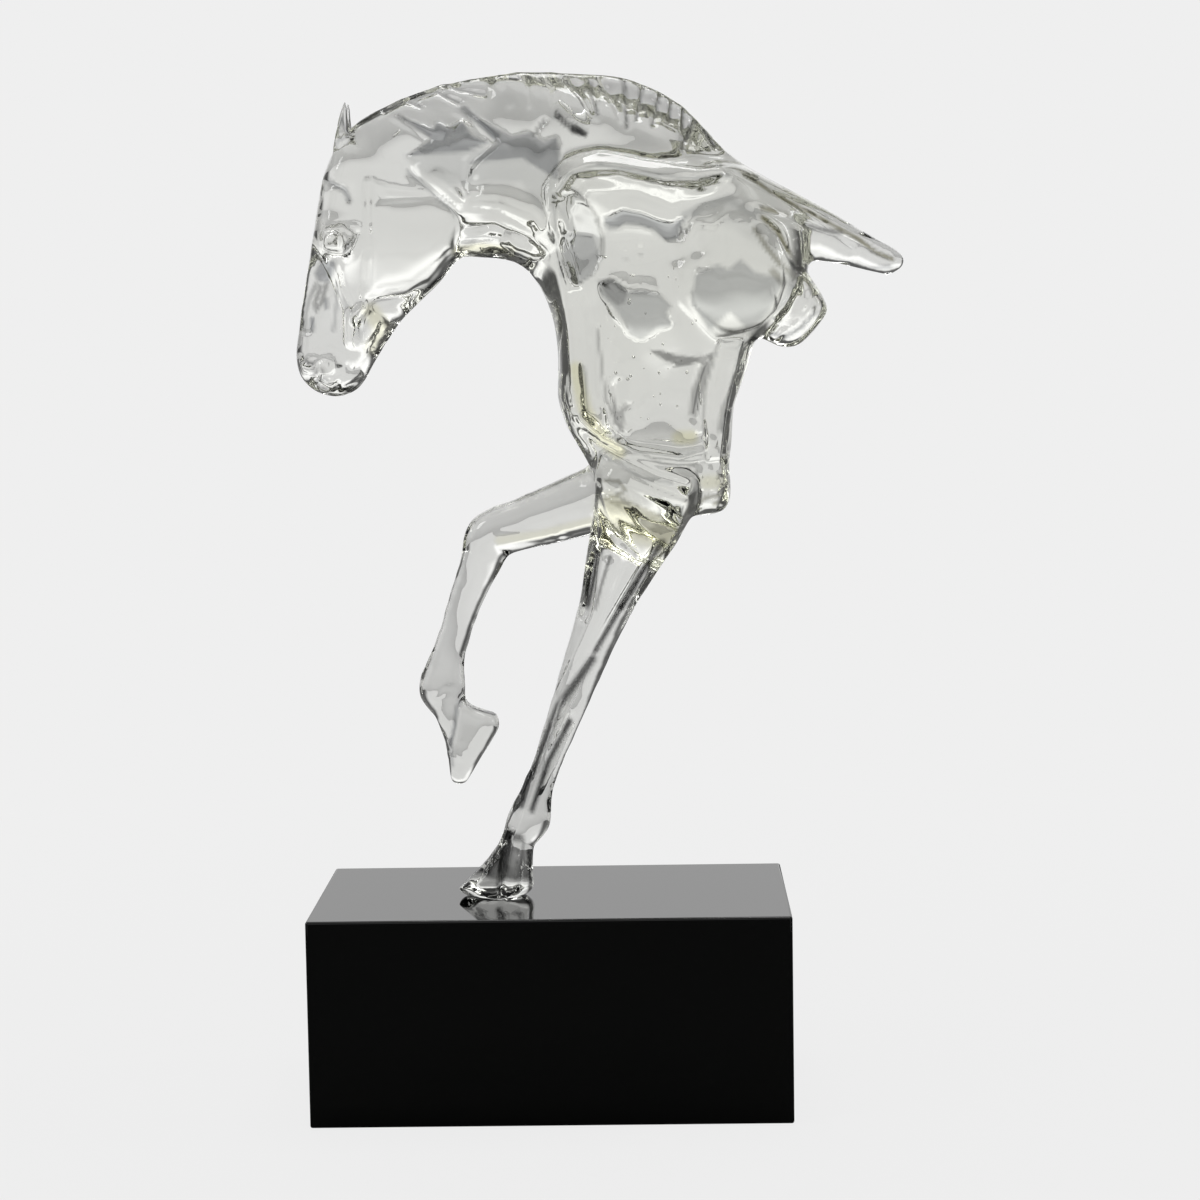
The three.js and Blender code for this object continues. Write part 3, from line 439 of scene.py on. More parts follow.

# Areas of painted shade as (side, painted colour, strength, width of the edge, corners).
PAINTED_SHADE_PATCHES = (
    ("near", PAINTED_GREY_SHADE, 0.88, 0.4, (
        (-9.0, 90.0), (-7.5, 91.0), (-6.0, 92.0), (-9.9, 94.9), (-5.6, 93.3), (-5.2, 94.2),
        (-4.0, 93.5), (-2.2, 94.2), (-1.1, 92.5), (1.0, 91.4), (-1.6, 90.4), (-4.6, 90.2),
    )),
    ("near", PAINTED_GREY_SHADE, 0.84, 0.4, (
        (-1.4, 89.0), (1.9, 91.2), (-1.7, 95.2), (2.4, 92.9), (3.7, 92.2), (6.0, 92.6),
        (7.4, 91.4), (9.2, 92.0), (9.6, 89.5), (9.3, 86.6), (5.0, 89.4), (1.4, 89.2),
    )),
    ("near", PAINTED_GREY_SHADE, 0.42, 1.0, (
        (-9.0, 90.0), (-2.0, 91.0), (3.0, 90.8), (9.4, 90.6), (9.2, 83.5), (7.5, 82.4),
        (4.8, 86.4), (-0.6, 86.6), (-4.0, 86.4), (-7.4, 88.0),
    )),
    ("near", PAINTED_GREY_SHADE, 0.35, 0.3, (
        (9.9, 85.2), (11.1, 85.5), (12.5, 84.2), (13.8, 82.2), (14.4, 79.9), (14.2, 77.6),
        (13.3, 75.6), (11.6, 74.4), (10.3, 74.9), (9.6, 77.1), (9.4, 80.5), (9.5, 83.4),
    )),
    ("near", PAINTED_GREY_SHADE, 0.55, 0.3, (
        (9.6, 80.8), (11.0, 80.6), (13.3, 80.2), (14.2, 77.6), (13.3, 75.6), (11.6, 74.4),
        (10.3, 74.9), (9.6, 77.7),
    )),
    ("near", PAINTED_GREY_SHADE, 0.88, 0.35, SHOULDER_BAND),
    ("near", PAINTED_GREY_SHADE, 0.66, 0.3, CHEST_FOLD),
    ("near", PAINTED_BLACK_SHADE, 0.6, 0.4, (
        (13.8, 74.7), (15.6, 75.0), (16.7, 74.1), (17.4, 73.5), (17.0, 72.1), (16.1, 71.8),
        (15.0, 72.7),
    )),
    ("near", PAINTED_GREY_SHADE, 0.70, 0.5, (
        (25.3, 75.3), (28.0, 76.5), (29.2, 75.9), (30.7, 77.0), (32.4, 75.5), (36.0, 74.6),
        (37.4, 74.0), (36.3, 71.6), (33.9, 70.2), (32.1, 68.1), (29.4, 70.8), (27.0, 68.6),
        (24.9, 71.8),
    )),
    ("near", PAINTED_BLACK_SHADE, 0.84, 0.25, (
        (19.6, 66.6), (21.4, 66.4), (23.2, 65.8), (25.6, 65.6), (27.4, 66.1), (27.3, 65.3),
        (26.2, 64.6), (25.4, 65.0), (24.6, 64.6), (22.2, 64.3), (23.0, 64.7), (21.4, 65.3),
    )),
    ("both", PAINTED_BLACK_SHADE, 0.7, 0.4, (
        (26.0, 64.7), (27.2, 65.0), (26.3, 61.8), (25.3, 58.3), (24.4, 58.7), (24.8, 61.9),
    )),
    ("near", PAINTED_BLACK_SHADE, 0.6, 0.3, ((29.6, 62.4), (29.2, 60.1), (28.6, 56.6), (27.7, 56.6), (28.2, 59.5))),
    ("near", PAINTED_BLACK_SHADE, 0.65, 0.25, (
        (15.3, 62.0), (15.9, 59.4), (16.5, 60.0), (17.8, 60.3), (16.7, 59.1), (16.7, 56.5),
        (15.9, 56.8), (15.3, 59.1),
    )),
    ("near", PAINTED_GREY_SHADE, 0.22, 0.8, (
        (26.0, 83.0), (30.0, 83.8), (34.6, 80.4), (36.2, 76.8), (33.0, 78.6), (29.6, 80.6),
    )),
    ("near", PAINTED_OLIVE_SHADE, 0.95, 0.3, (
        (12.8, 47.5), (13.8, 46.9), (15.3, 43.8), (15.1, 42.6), (13.8, 43.3), (12.5, 44.3),
    )),
    ("near", PAINTED_OLIVE_SHADE, 0.72, 0.3, (
        (14.1, 48.8), (16.6, 48.9), (19.0, 47.9), (21.8, 46.6), (20.2, 46.3), (16.9, 47.0),
        (15.9, 47.9),
    )),
    ("near", PAINTED_OLIVE_SHADE, 0.60, 0.3, (
        (19.2, 45.2), (20.7, 46.1), (22.1, 46.2), (23.2, 45.6), (22.1, 42.9), (20.7, 41.1),
        (19.4, 41.6), (20.7, 43.4),
    )),
    ("near", PAINTED_GREY_SHADE, 0.50, 0.3, ((20.0, 49.0), (23.8, 48.0), (23.6, 46.8), (20.7, 47.5))),
    ("near", PAINTED_OLIVE_SHADE, 0.60, 0.25, ((16.6, 45.2), (18.0, 45.4), (19.5, 43.9), (18.3, 44.4))),
    ("near", PAINTED_GREY_SHADE, 0.90, 0.5, (
        (-19.6, 77.8), (-17.7, 77.8), (-17.6, 76.9), (-18.6, 75.1), (-20.1, 75.3), (-20.5, 76.3),
    )),
    ("near", PAINTED_GREY_SHADE, 0.70, 0.3, (
        (-16.3, 80.0), (-15.5, 80.2), (-15.1, 80.5), (-16.2, 78.5), (-16.8, 78.8),
    )),
    ("near", PAINTED_GREY_SHADE, 0.50, 0.3, ((-20.7, 63.5), (-19.8, 63.9), (-18.9, 63.4), (-19.8, 62.9))),
    ("near", PAINTED_GREY_SHADE, 0.45, 0.3, ((-17.4, 74.2), (-16.3, 69.9), (-15.7, 71.8))),
    ("near", PAINTED_GREY_SHADE, 0.45, 0.3, ((-13.3, 72.4), (-15.3, 70.6), (-15.6, 68.6), (-14.8, 68.0))),
)

# Sealed hollows as (u, v, y in mm from the middle, length, height and thickness in mm, turn
# in degrees).
HOLLOWS = (
    (10.3, 94.9, 0.0, 11.0, 2.2, 2.0, -40),
    (12.2, 93.7, 0.0, 10.0, 3.8, 2.6, -24),
    (-10.2, 92.6, -2.0, 5.0, 1.2, 1.2, 40),
    (31.6, 85.9, -6.0, 8.0, 1.8, 2.0, -30),
    (26.0, 61.4, -12.0, 2.2, 14.0, 2.4, 8),
    (16.2, 36.1, -20.0, 56.0, 2.6, 2.6, 58.6),
    (8.3, 21.8, -13.5, 66.0, 3.0, 2.8, 62.8),
    (7.3, 16.6, -12.0, 50.0, 2.2, 2.2, 67.5),
    (12.7, 39.1, -18.0, 27.0, 2.6, 2.6, 78.9),
)

# Where the small bubbles lie and how wide they are: u, v, then metres from the middle and across.
BUBBLE_U = (14.5, 25.5)
BUBBLE_V = (56, 78)
BUBBLE_Y = (-0.017, 0.010)
BUBBLE_WIDTH = (0.0006, 0.0016)
BUBBLE_STRETCH = 1.2
BUBBLE_SEED = 7

# The polish of each finish, as the values that the shared group takes.
RESIN_POLISH = {
    "Haze Scale": 26.0,
    "Haze Detail": 3.0,
    "Haze Start": 0.35,
    "Haze End": 0.75,
    "Least Roughness": 0.0,
    "Most Roughness": 0.005,
    "Wave Scale": 120.0,
    "Wave Strength": 0.12,
    "Wave Height": 0.0004,
}
PLINTH_POLISH = {
    "Haze Scale": 60.0,
    "Haze Detail": 5.0,
    "Haze Start": 0.3,
    "Haze End": 0.8,
    "Least Roughness": 0.02,
    "Most Roughness": 0.05,
    "Wave Scale": 90.0,
    "Wave Strength": 0.05,
    "Wave Height": 0.0002,
}

# The studio that reflections and the resin see: brightness by the degrees round from straight
# behind the sculpture, clockwise from above, and by the height of the view's direction.
SCREENS = (
    (-180, 0.50), (-150, 0.46), (-125, 0.06), (-98, 0.9), (-76, 0.9), (-62, 0.10),
    (-40, 0.08), (-25, 0.74), (25, 0.74), (37, 0.08), (64, 0.12), (74, 1.1), (86, 1.1),
    (98, 0.08), (130, 0.10), (155, 0.46), (180, 0.50),
)
LEVELS = (
    (-1.0, 0.2), (-0.35, 0.45), (-0.08, 0.95), (0.12, 1.0), (0.30, 1.6), (0.46, 1.3),
    (0.62, 0.15), (1.0, 0.15),
)

# Soft lights as (name, place, width, height, watts), all turned to one point of the sculpture.
LIGHTS = (
    ("key_left", (-1.9, -1.1, 1.9), 0.5, 1.0, 9),
    ("fill_right", (2.0, 0.2, 1.3), 0.25, 1.3, 6),
    ("overhead", (0.1, 0.5, 2.3), 1.1, 0.7, 14),
)
LIGHT_AIM = (0.03, 0.0, 0.3)

# What the floor gives back: to soft light, to reflections and to rays that pass the resin.
FLOOR_TO_SOFT = 0.75
FLOOR_TO_GLOSS = 0.08
FLOOR_TO_RESIN = 0.62
FLOOR_GAP = 0.0002


class ResinSettings(bpy.types.PropertyGroup):
    """Sizes and colours of the cast horse."""

    colour: bpy.props.FloatVectorProperty(
        name="Resin colour",
        description="Tint of the light that passes through the resin",
        default=(0.968, 0.970, 0.958),
        size=3,
        subtype="COLOR",
        min=0.0,
        max=1.0,
    )
    depth_colour: bpy.props.FloatVectorProperty(
        name="Depth colour",
        description="Colour that the resin takes on where it is thick",
        default=(0.80, 0.81, 0.68),
        size=3,
        subtype="COLOR",
        min=0.0,
        max=1.0,
    )
    depth_density: bpy.props.FloatProperty(
        name="Depth density",
        description="How fast the depth colour builds up, for each metre of resin",
        default=5.5,
        min=0.0,
    )
    refraction: bpy.props.FloatProperty(
        name="Refraction",
        description="Index of refraction of the cast resin",
        default=1.5,
        min=1.0,
        max=2.0,
    )
    smoothing_levels: bpy.props.IntProperty(
        name="Smoothing levels",
        description="How often the solid's faces are divided before the carving",
        default=2,
        min=1,
        max=3,
    )
    ripple: bpy.props.FloatProperty(
        name="Ripple",
        description="Height of the slow waves left in the hand-finished faces",
        default=0.00035,
        min=0.0,
        unit="LENGTH",
        subtype="DISTANCE",
    )
    bubbles: bpy.props.IntProperty(
        name="Bubbles",
        description="Number of small round bubbles sealed in the resin",
        default=46,
        min=0,
    )


class PlinthSettings(bpy.types.PropertyGroup):
    """Sizes and colours of the plinth."""

    edge: bpy.props.FloatProperty(
        name="Edge",
        description="Radius of the plinth's eased edges",
        default=0.0012,
        min=0.0001,
        unit="LENGTH",
        subtype="DISTANCE",
    )
    colour: bpy.props.FloatVectorProperty(
        name="Plinth colour",
        description="Colour of the black gloss faces",
        default=(0.0016, 0.0018, 0.0016),
        size=3,
        subtype="COLOR",
        min=0.0,
        max=1.0,
    )


class StageSettings(bpy.types.PropertyGroup):
    """The studio round the sculpture, and the camera."""

    backdrop: bpy.props.FloatProperty(
        name="Backdrop",
        description="Brightness of the plain backdrop that the camera sees",
        default=0.863,
        min=0.0,
    )
    floor_radius: bpy.props.FloatProperty(
        name="Floor radius",
        description="Radius of the round floor, which fades into the backdrop",
        default=2.4,
        min=0.5,
        unit="LENGTH",
        subtype="DISTANCE",
    )
    camera_place: bpy.props.FloatVectorProperty(
        name="Camera place",
        description="Where the camera stands",
        default=(0.0550, -1.4239, 0.3947),
        size=3,
        unit="LENGTH",
        subtype="TRANSLATION",
    )
    camera_turn: bpy.props.FloatVectorProperty(
        name="Camera turn",
        description="Azimuth, height above the horizon and roll of the camera",
        default=(math.radians(1.1444), math.radians(5.6164), math.radians(-0.9102)),
        size=3,
        unit="ROTATION",
        subtype="EULER",
    )
    lens: bpy.props.FloatProperty(
        name="Lens",
        description="Focal length on a sensor 36 mm wide",
        default=84.1,
        min=1.0,
        unit="CAMERA",
    )


class SculptureSettings(bpy.types.PropertyGroup):
    """All settings of the sculpture and its stage."""

    resin: bpy.props.PointerProperty(type=ResinSettings)
    plinth: bpy.props.PointerProperty(type=PlinthSettings)
    stage: bpy.props.PointerProperty(type=StageSettings)


def distance_to_line(u, v, points):
    """How far each place (u, v) of the side view is from a line through the points."""
    nearest = np.full(len(u), np.inf)
    for (ax, az), (bx, bz) in zip(points, points[1:]):
        ex, ez = bx - ax, bz - az
        along = np.clip(((u - ax) * ex + (v - az) * ez) / (ex * ex + ez * ez), 0, 1)
        nearest = np.minimum(nearest, np.hypot(u - ax - ex * along, v - az - ez * along))
    return nearest


def depth_in_area(u, v, corners):
    """How far each place lies inside a closed outline, negative outside it."""
    inside = np.zeros(len(u), bool)
    for (ax, az), (bx, bz) in zip(corners, corners[1:] + corners[:1]):
        if az == bz:
            continue
        crosses = (az > v) != (bz > v)
        inside ^= crosses & (u < ax + (v - az) / (bz - az) * (bx - ax))
    edge = distance_to_line(u, v, corners + corners[:1])
    return np.where(inside, edge, -edge)


def on_side(side, outward):
    """Share from 0 to 1 of each point that belongs to the named side of the horse."""
    facing = np.clip((np.abs(outward) - TILT_START) * TILT_GAIN, 0, 1)
    if side == "near":
        return facing * (outward < 0)
    if side == "far":
        return facing * (outward > 0)
    return facing


def read_points(mesh):
    """The mesh's points and their normals, each as an array of three columns."""
    count = len(mesh.vertices)
    place = np.empty(count * 3, np.float32)
    normal = np.empty(count * 3, np.float32)
    mesh.vertices.foreach_get("co", place)
    mesh.vertex_normals.foreach_get("vector", normal)
    return place.reshape(-1, 3), normal.reshape(-1, 3)


def lift_points(mesh, place, normal, height):
    """Moves each point along its normal by its own height."""
    place = place + normal * height.astype(np.float32)[:, None]
    mesh.vertices.foreach_set("co", place.ravel())
    mesh.update()


def waves_at(place, pitch):
    """A smooth value from -1 to 1 at each point, with the given number of waves to a metre."""
    return np.array([noise.noise(Vector(point) * pitch) for point in place.tolist()])


def carve(mesh):
    """Raises and cuts the carving on a smooth mesh of the horse, along its own normals."""
    place, normal = read_points(mesh)
    u = (place[:, 0] - HOOF_X) / UNIT
    v = (place[:, 2] - SOLE_Z) / UNIT
    share = {side: on_side(side, normal[:, 1]) for side in ("near", "far", "both")}
    height = np.zeros(len(u))
    for side, rise, reach, points in LINES:
        away = distance_to_line(u, v, points)
        height += share[side] * rise * np.exp(-((away / reach) ** 2))
    for side, rise, edge, corners in AREAS:
        inward = np.clip(depth_in_area(u, v, corners) / edge, 0, 1)
        height += share[side] * rise * np.sqrt(inward * (2 - inward))
    for side, rise, reach, (cu, cv) in DOTS:
        away = np.hypot(u - cu, v - cv)
        height += share[side] * rise * np.exp(-((away / reach) ** 2))
    grain = waves_at(place, CRACKLE_PITCH)
    for rise, reach, (cu, cv) in CRACKLES:
        away = np.hypot(u - cu, v - cv)
        height += rise * grain * np.exp(-((away / reach) ** 2))
    free = np.clip((v - SOLE_PLAIN) / SOLE_FADE, 0, 1)
    lift_points(mesh, place, normal, height * free * MILLIMETRE)


def paint_shade_and_glints(mesh):
    """Stores the painted shade and painted yellow glints of the cast as a colour at each point."""
    place, normal = read_points(mesh)
    u = (place[:, 0] - HOOF_X) / UNIT
    v = (place[:, 2] - SOLE_Z) / UNIT
    share = {side: on_side(side, normal[:, 1]) for side in ("near", "far", "both")}
    colour = np.ones((len(u), 4), np.float32)

    def lay(painted_light, amount):
        colour[:, :3] *= 1 - amount[:, None] * (1 - np.array(painted_light))

    # Streaks of painted shade and painted glint, then areas of painted shade.
    for side, painted_light, strength, reach, points in PAINTED_SHADE_AND_GLINT_STREAKS:
        away = distance_to_line(u, v, points)
        lay(painted_light, share[side] * strength * np.exp(-((away / reach) ** 4)))
    for side, painted_light, strength, edge, corners in PAINTED_SHADE_PATCHES:
        inward = np.clip(depth_in_area(u, v, corners) / edge + 0.5, 0, 1)
        lay(painted_light, share[side] * strength * inward)
    layer = mesh.attributes.new("painted_light", "FLOAT_COLOR", "POINT")
    layer.data.foreach_set("color", colour.ravel())


def ripple(mesh, size):
    """Leaves slow waves in the faces, which bend what is seen through the resin."""
    place, normal = read_points(mesh)
    waves = waves_at(place, SLOW_PITCH) + QUICK_SHARE * waves_at(place, QUICK_PITCH)
    free = np.clip((place[:, 2] - SOLE_Z - UNIT) / UNIT, 0, 1)
    lift_points(mesh, place, normal, waves * free * size)


def add_hollow(bm, centre, size, turn, fine):
    """Seals an egg-shaped hollow in the resin: its faces look into the hollow."""
    shape = (
        Matrix.Translation(centre)
        @ Matrix.Rotation(-turn, 4, "Y")
        @ Matrix.Diagonal((*size, 1.0))
    )
    made = bmesh.ops.create_icosphere(bm, subdivisions=fine, radius=0.5, matrix=shape)
    faces = {face for vertex in made["verts"] for face in vertex.link_faces}
    bmesh.ops.reverse_faces(bm, faces=list(faces))


def seal_hollows(mesh, bubbles):
    """Adds the large hollows and a scatter of small bubbles inside the horse."""
    bm = bmesh.new()
    bm.from_mesh(mesh)
    for u, v, y, length, high, thick, turn in HOLLOWS:
        centre = Vector((HOOF_X + u * UNIT, MIDDLE_Y + y * MILLIMETRE, SOLE_Z + v * UNIT))
        size = (length * MILLIMETRE, thick * MILLIMETRE, high * MILLIMETRE)
        add_hollow(bm, centre, size, math.radians(turn), 3)
    chance = random.Random(BUBBLE_SEED)
    for _ in range(bubbles):
        v = chance.uniform(*BUBBLE_V)
        u = chance.uniform(*BUBBLE_U)
        size = chance.uniform(*BUBBLE_WIDTH)
        y = chance.uniform(*BUBBLE_Y)
        centre = Vector((HOOF_X + u * UNIT, MIDDLE_Y + y, SOLE_Z + v * UNIT))
        add_hollow(bm, centre, (size, size, size * BUBBLE_STRETCH), 0.0, 2)
    for face in bm.faces:
        face.smooth = True
    bm.to_mesh(mesh)
    bm.free()


def set_inputs(node, values):
    """Sets the inputs of a node by their names."""
    for name, value in values.items():
        node.inputs[name].default_value = value


def join(links, *steps):
    """Joins nodes, each step as (node, its output, next node, its input)."""
    for source, output, target, socket in steps:
        links.new(source.outputs[output], target.inputs[socket])


def polish_group(names):
    """The finish that both pieces share: a trace of haze, and the slow waves of polishing."""
    group = bpy.data.node_groups.get("hand_polish")
    if group:
        return group
    group = bpy.data.node_groups.new("hand_polish", "ShaderNodeTree")
    for name in names:
        group.interface.new_socket(name, in_out="INPUT", socket_type="NodeSocketFloat")
    group.interface.new_socket("Roughness", in_out="OUTPUT", socket_type="NodeSocketFloat")
    group.interface.new_socket("Normal", in_out="OUTPUT", socket_type="NodeSocketVector")
    nodes, links = group.nodes, group.links
    given = nodes.new("NodeGroupInput")
    result = nodes.new("NodeGroupOutput")
    place = nodes.new("ShaderNodeTexCoord")
    haze = nodes.new("ShaderNodeTexNoise")
    spread = nodes.new("ShaderNodeMapRange")
    waves = nodes.new("ShaderNodeTexNoise")
    bump = nodes.new("ShaderNodeBump")
    join(
        links,
        (place, "Object", haze, "Vector"),
        (given, "Haze Scale", haze, "Scale"),
        (given, "Haze Detail", haze, "Detail"),
        (haze, "Fac", spread, "Value"),
        (given, "Haze Start", spread, "From Min"),
        (given, "Haze End", spread, "From Max"),
        (given, "Least Roughness", spread, "To Min"),
        (given, "Most Roughness", spread, "To Max"),
        (place, "Object", waves, "Vector"),
        (given, "Wave Scale", waves, "Scale"),
        (waves, "Fac", bump, "Height"),
        (given, "Wave Strength", bump, "Strength"),
        (given, "Wave Height", bump, "Distance"),
        (spread, "Result", result, "Roughness"),
        (bump, "Normal", result, "Normal"),
    )
    return group


def add_polish(material, shader, finish):
    """Places the shared finish in a material with this piece's own values."""
    nodes, links = material.node_tree.nodes, material.node_tree.links
    polish = nodes.new("ShaderNodeGroup")
    polish.node_tree = polish_group(finish)
    set_inputs(polish, finish)
    join(
        links,
        (polish, "Roughness", shader, "Roughness"),
        (polish, "Normal", shader, "Normal"),
    )


def resin_material(settings):
    """Clear resin with the painted shade and glints of its points, and greener where it is thick.
    """
    material = bpy.data.materials.new("clear_resin")
    material.use_nodes = True
    nodes, links = material.node_tree.nodes, material.node_tree.links
    nodes.clear()
    output = nodes.new("ShaderNodeOutputMaterial")
    glass = nodes.new("ShaderNodeBsdfPrincipled")
    set_inputs(
        glass,
        {"Metallic": 0.0, "IOR": settings.refraction, "Transmission Weight": 1.0},
    )
    # The painted shade and painted glints stored at the points darken and yellow the resin.
    painted_light = nodes.new("ShaderNodeAttribute")
    painted_light.attribute_name = "painted_light"
    clear = nodes.new("ShaderNodeMix")
    clear.data_type = "RGBA"
    clear.blend_type = "MULTIPLY"
    set_inputs(clear, {"Factor": 1.0, "A": (*settings.colour, 1.0)})
    absorb = nodes.new("ShaderNodeVolumeAbsorption")
    depth_colour = (*settings.depth_colour, 1.0)
    set_inputs(absorb, {"Color": depth_colour, "Density": settings.depth_density})
    add_polish(material, glass, RESIN_POLISH)
    join(
        links,
        (painted_light, "Color", clear, "B"),
        (clear, "Result", glass, "Base Color"),
        (glass, "BSDF", output, "Surface"),
        (absorb, "Volume", output, "Volume"),
    )
    return material


def plinth_material(settings):
    """Black gloss with the faintest orange peel and a trace of dust on the polish."""
    material = bpy.data.materials.new("black_gloss")
    material.use_nodes = True
    gloss = material.node_tree.nodes["Principled BSDF"]
    set_inputs(gloss, {"Base Color": (*settings.colour, 1.0), "IOR": 1.45})
    add_polish(material, gloss, PLINTH_POLISH)
    return material


def link_piece(mesh, name, node, material):
    """Shows a finished mesh as the piece that stands for a node of the frame."""
    piece = bpy.data.objects.new(name, mesh)
    bpy.context.scene.collection.objects.link(piece)
    mesh.materials.clear()
    mesh.materials.append(material)
    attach(piece, "root")
    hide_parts(node)
    return piece


class SCULPTURE_OT_horse(bpy.types.Operator):
    """Makes the clear cast horse from the solid, smooths it and cuts its carving"""

    bl_idname = "sculpture.horse"
    bl_label = "Cast resin horse"

    def execute(self, context):
        settings = getattr(context.scene, SETTINGS).resin
        bm = bmesh.new()
        bm.from_mesh(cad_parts["horse"].data)
        bmesh.ops.remove_doubles(bm, verts=bm.verts, dist=1e-6)
        bmesh.ops.join_triangles(
            bm,
            faces=bm.faces,
            angle_face_threshold=math.radians(60),
            angle_shape_threshold=math.radians(60),
        )
        for face in bm.faces:
            face.smooth = True
        coarse = bpy.data.meshes.new("horse_cast")
        bm.to_mesh(coarse)
        bm.free()
        carrier = bpy.data.objects.new("horse_cast", coarse)
        context.scene.collection.objects.link(carrier)
        smooth = carrier.modifiers.new("smooth", "SUBSURF")
        smooth.levels = settings.smoothing_levels
        smooth.render_levels = settings.smoothing_levels
        ready = carrier.evaluated_get(context.evaluated_depsgraph_get())
        mesh = bpy.data.meshes.new_from_object(ready)
        bpy.data.objects.remove(carrier)
        carve(mesh)
        # Paints the shade and glints of the cast into a colour at its points.
        paint_shade_and_glints(mesh)
        ripple(mesh, settings.ripple)
        seal_hollows(mesh, settings.bubbles)
        link_piece(mesh, "resin_horse", "horse", resin_material(settings))
        return {"FINISHED"}


class SCULPTURE_OT_plinth(bpy.types.Operator):
    """Makes the black gloss plinth with its eased edges"""

    bl_idname = "sculpture.plinth"
    bl_label = "Black plinth"

    def execute(self, context):
        settings = getattr(context.scene, SETTINGS).plinth
        size = PLINTH_HIGH - PLINTH_LOW
        middle = (PLINTH_HIGH + PLINTH_LOW) / 2
        bm = bmesh.new()
        block = Matrix.Translation(middle) @ Matrix.Diagonal((*size, 1.0))
        bmesh.ops.create_cube(bm, size=1.0, matrix=block)
        bmesh.ops.bevel(
            bm,
            geom=bm.edges[:],
            offset=settings.edge,
            offset_type="OFFSET",
            affect="EDGES",
            segments=4,
            profile=0.5,
            material=-1,
            clamp_overlap=True,
        )
        faces = sorted(bm.faces, key=lambda face: face.calc_area())
        for face in faces[:-6]:
            face.smooth = True
        mesh = bpy.data.meshes.new("black_plinth")
        bm.to_mesh(mesh)
        bm.free()
        link_piece(mesh, "black_plinth", "plinth", plinth_material(settings))
        return {"FINISHED"}


def set_stops(ramp, stops):
    """Fills a colour ramp with grey stops, each as (position, value)."""
    while len(ramp.elements) < len(stops):
        ramp.elements.new(0.5)
    for element, (position, value) in zip(ramp.elements, stops):
        element.position = position
        element.color = (value, value, value, 1.0)


def studio_world(backdrop):
    """A plain pale backdrop for the camera, and a lit studio for the resin to bend.

    The studio is a bright screen behind the sculpture with darkness beside it, a soft box to
    the left, a strip of light to the right, a bright ceiling, and a dimmer screen in front.
    """
    world = bpy.data.worlds.new("studio")
    world.use_nodes = True
    nodes, links = world.node_tree.nodes, world.node_tree.links
    nodes.clear()
    output = nodes.new("ShaderNodeOutputWorld")
    seen = nodes.new("ShaderNodeBackground")
    seen.inputs["Color"].default_value = (backdrop, backdrop, backdrop, 1.0)
    room = nodes.new("ShaderNodeBackground")
    mix = nodes.new("ShaderNodeMixShader")
    ray = nodes.new("ShaderNodeLightPath")
    place = nodes.new("ShaderNodeTexCoord")
    split = nodes.new("ShaderNodeSeparateXYZ")
    turn = nodes.new("ShaderNodeMath")
    turn.operation = "ARCTAN2"
    degrees = nodes.new("ShaderNodeMapRange")
    set_inputs(degrees, {"From Min": -math.pi, "From Max": math.pi})
    around = nodes.new("ShaderNodeValToRGB")
    around.color_ramp.interpolation = "EASE"
    set_stops(around.color_ramp, [((angle + 180) / 360, value) for angle, value in SCREENS])
    rise = nodes.new("ShaderNodeMapRange")
    set_inputs(rise, {"From Min": -1.0, "From Max": 1.0})
    upward = nodes.new("ShaderNodeValToRGB")
    upward.color_ramp.interpolation = "EASE"
    set_stops(upward.color_ramp, [((level + 1) / 2, value) for level, value in LEVELS])
    product = nodes.new("ShaderNodeMath")
    product.operation = "MULTIPLY"
    ceiling = nodes.new("ShaderNodeMapRange")
    ceiling.interpolation_type = "SMOOTHSTEP"
    set_inputs(ceiling, {"From Min": 0.80, "From Max": 0.90, "To Max": 1.3})
    total = nodes.new("ShaderNodeMath")
    total.operation = "ADD"
    join(
        links,
        (place, "Generated", split, "Vector"),
        (split, "X", turn, 0),
        (split, "Y", turn, 1),
        (turn, "Value", degrees, "Value"),
        (degrees, "Result", around, "Fac"),
        (split, "Z", rise, "Value"),
        (rise, "Result", upward, "Fac"),
        (around, "Color", product, 0),
        (upward, "Color", product, 1),
        (split, "Z", ceiling, "Value"),
        (product, "Value", total, 0),
        (ceiling, "Result", total, 1),
        (total, "Value", room, "Color"),
        (ray, "Is Camera Ray", mix, "Fac"),
        (room, "Background", mix, 1),
        (seen, "Background", mix, 2),
        (mix, "Shader", output, "Surface"),
    )
    return world


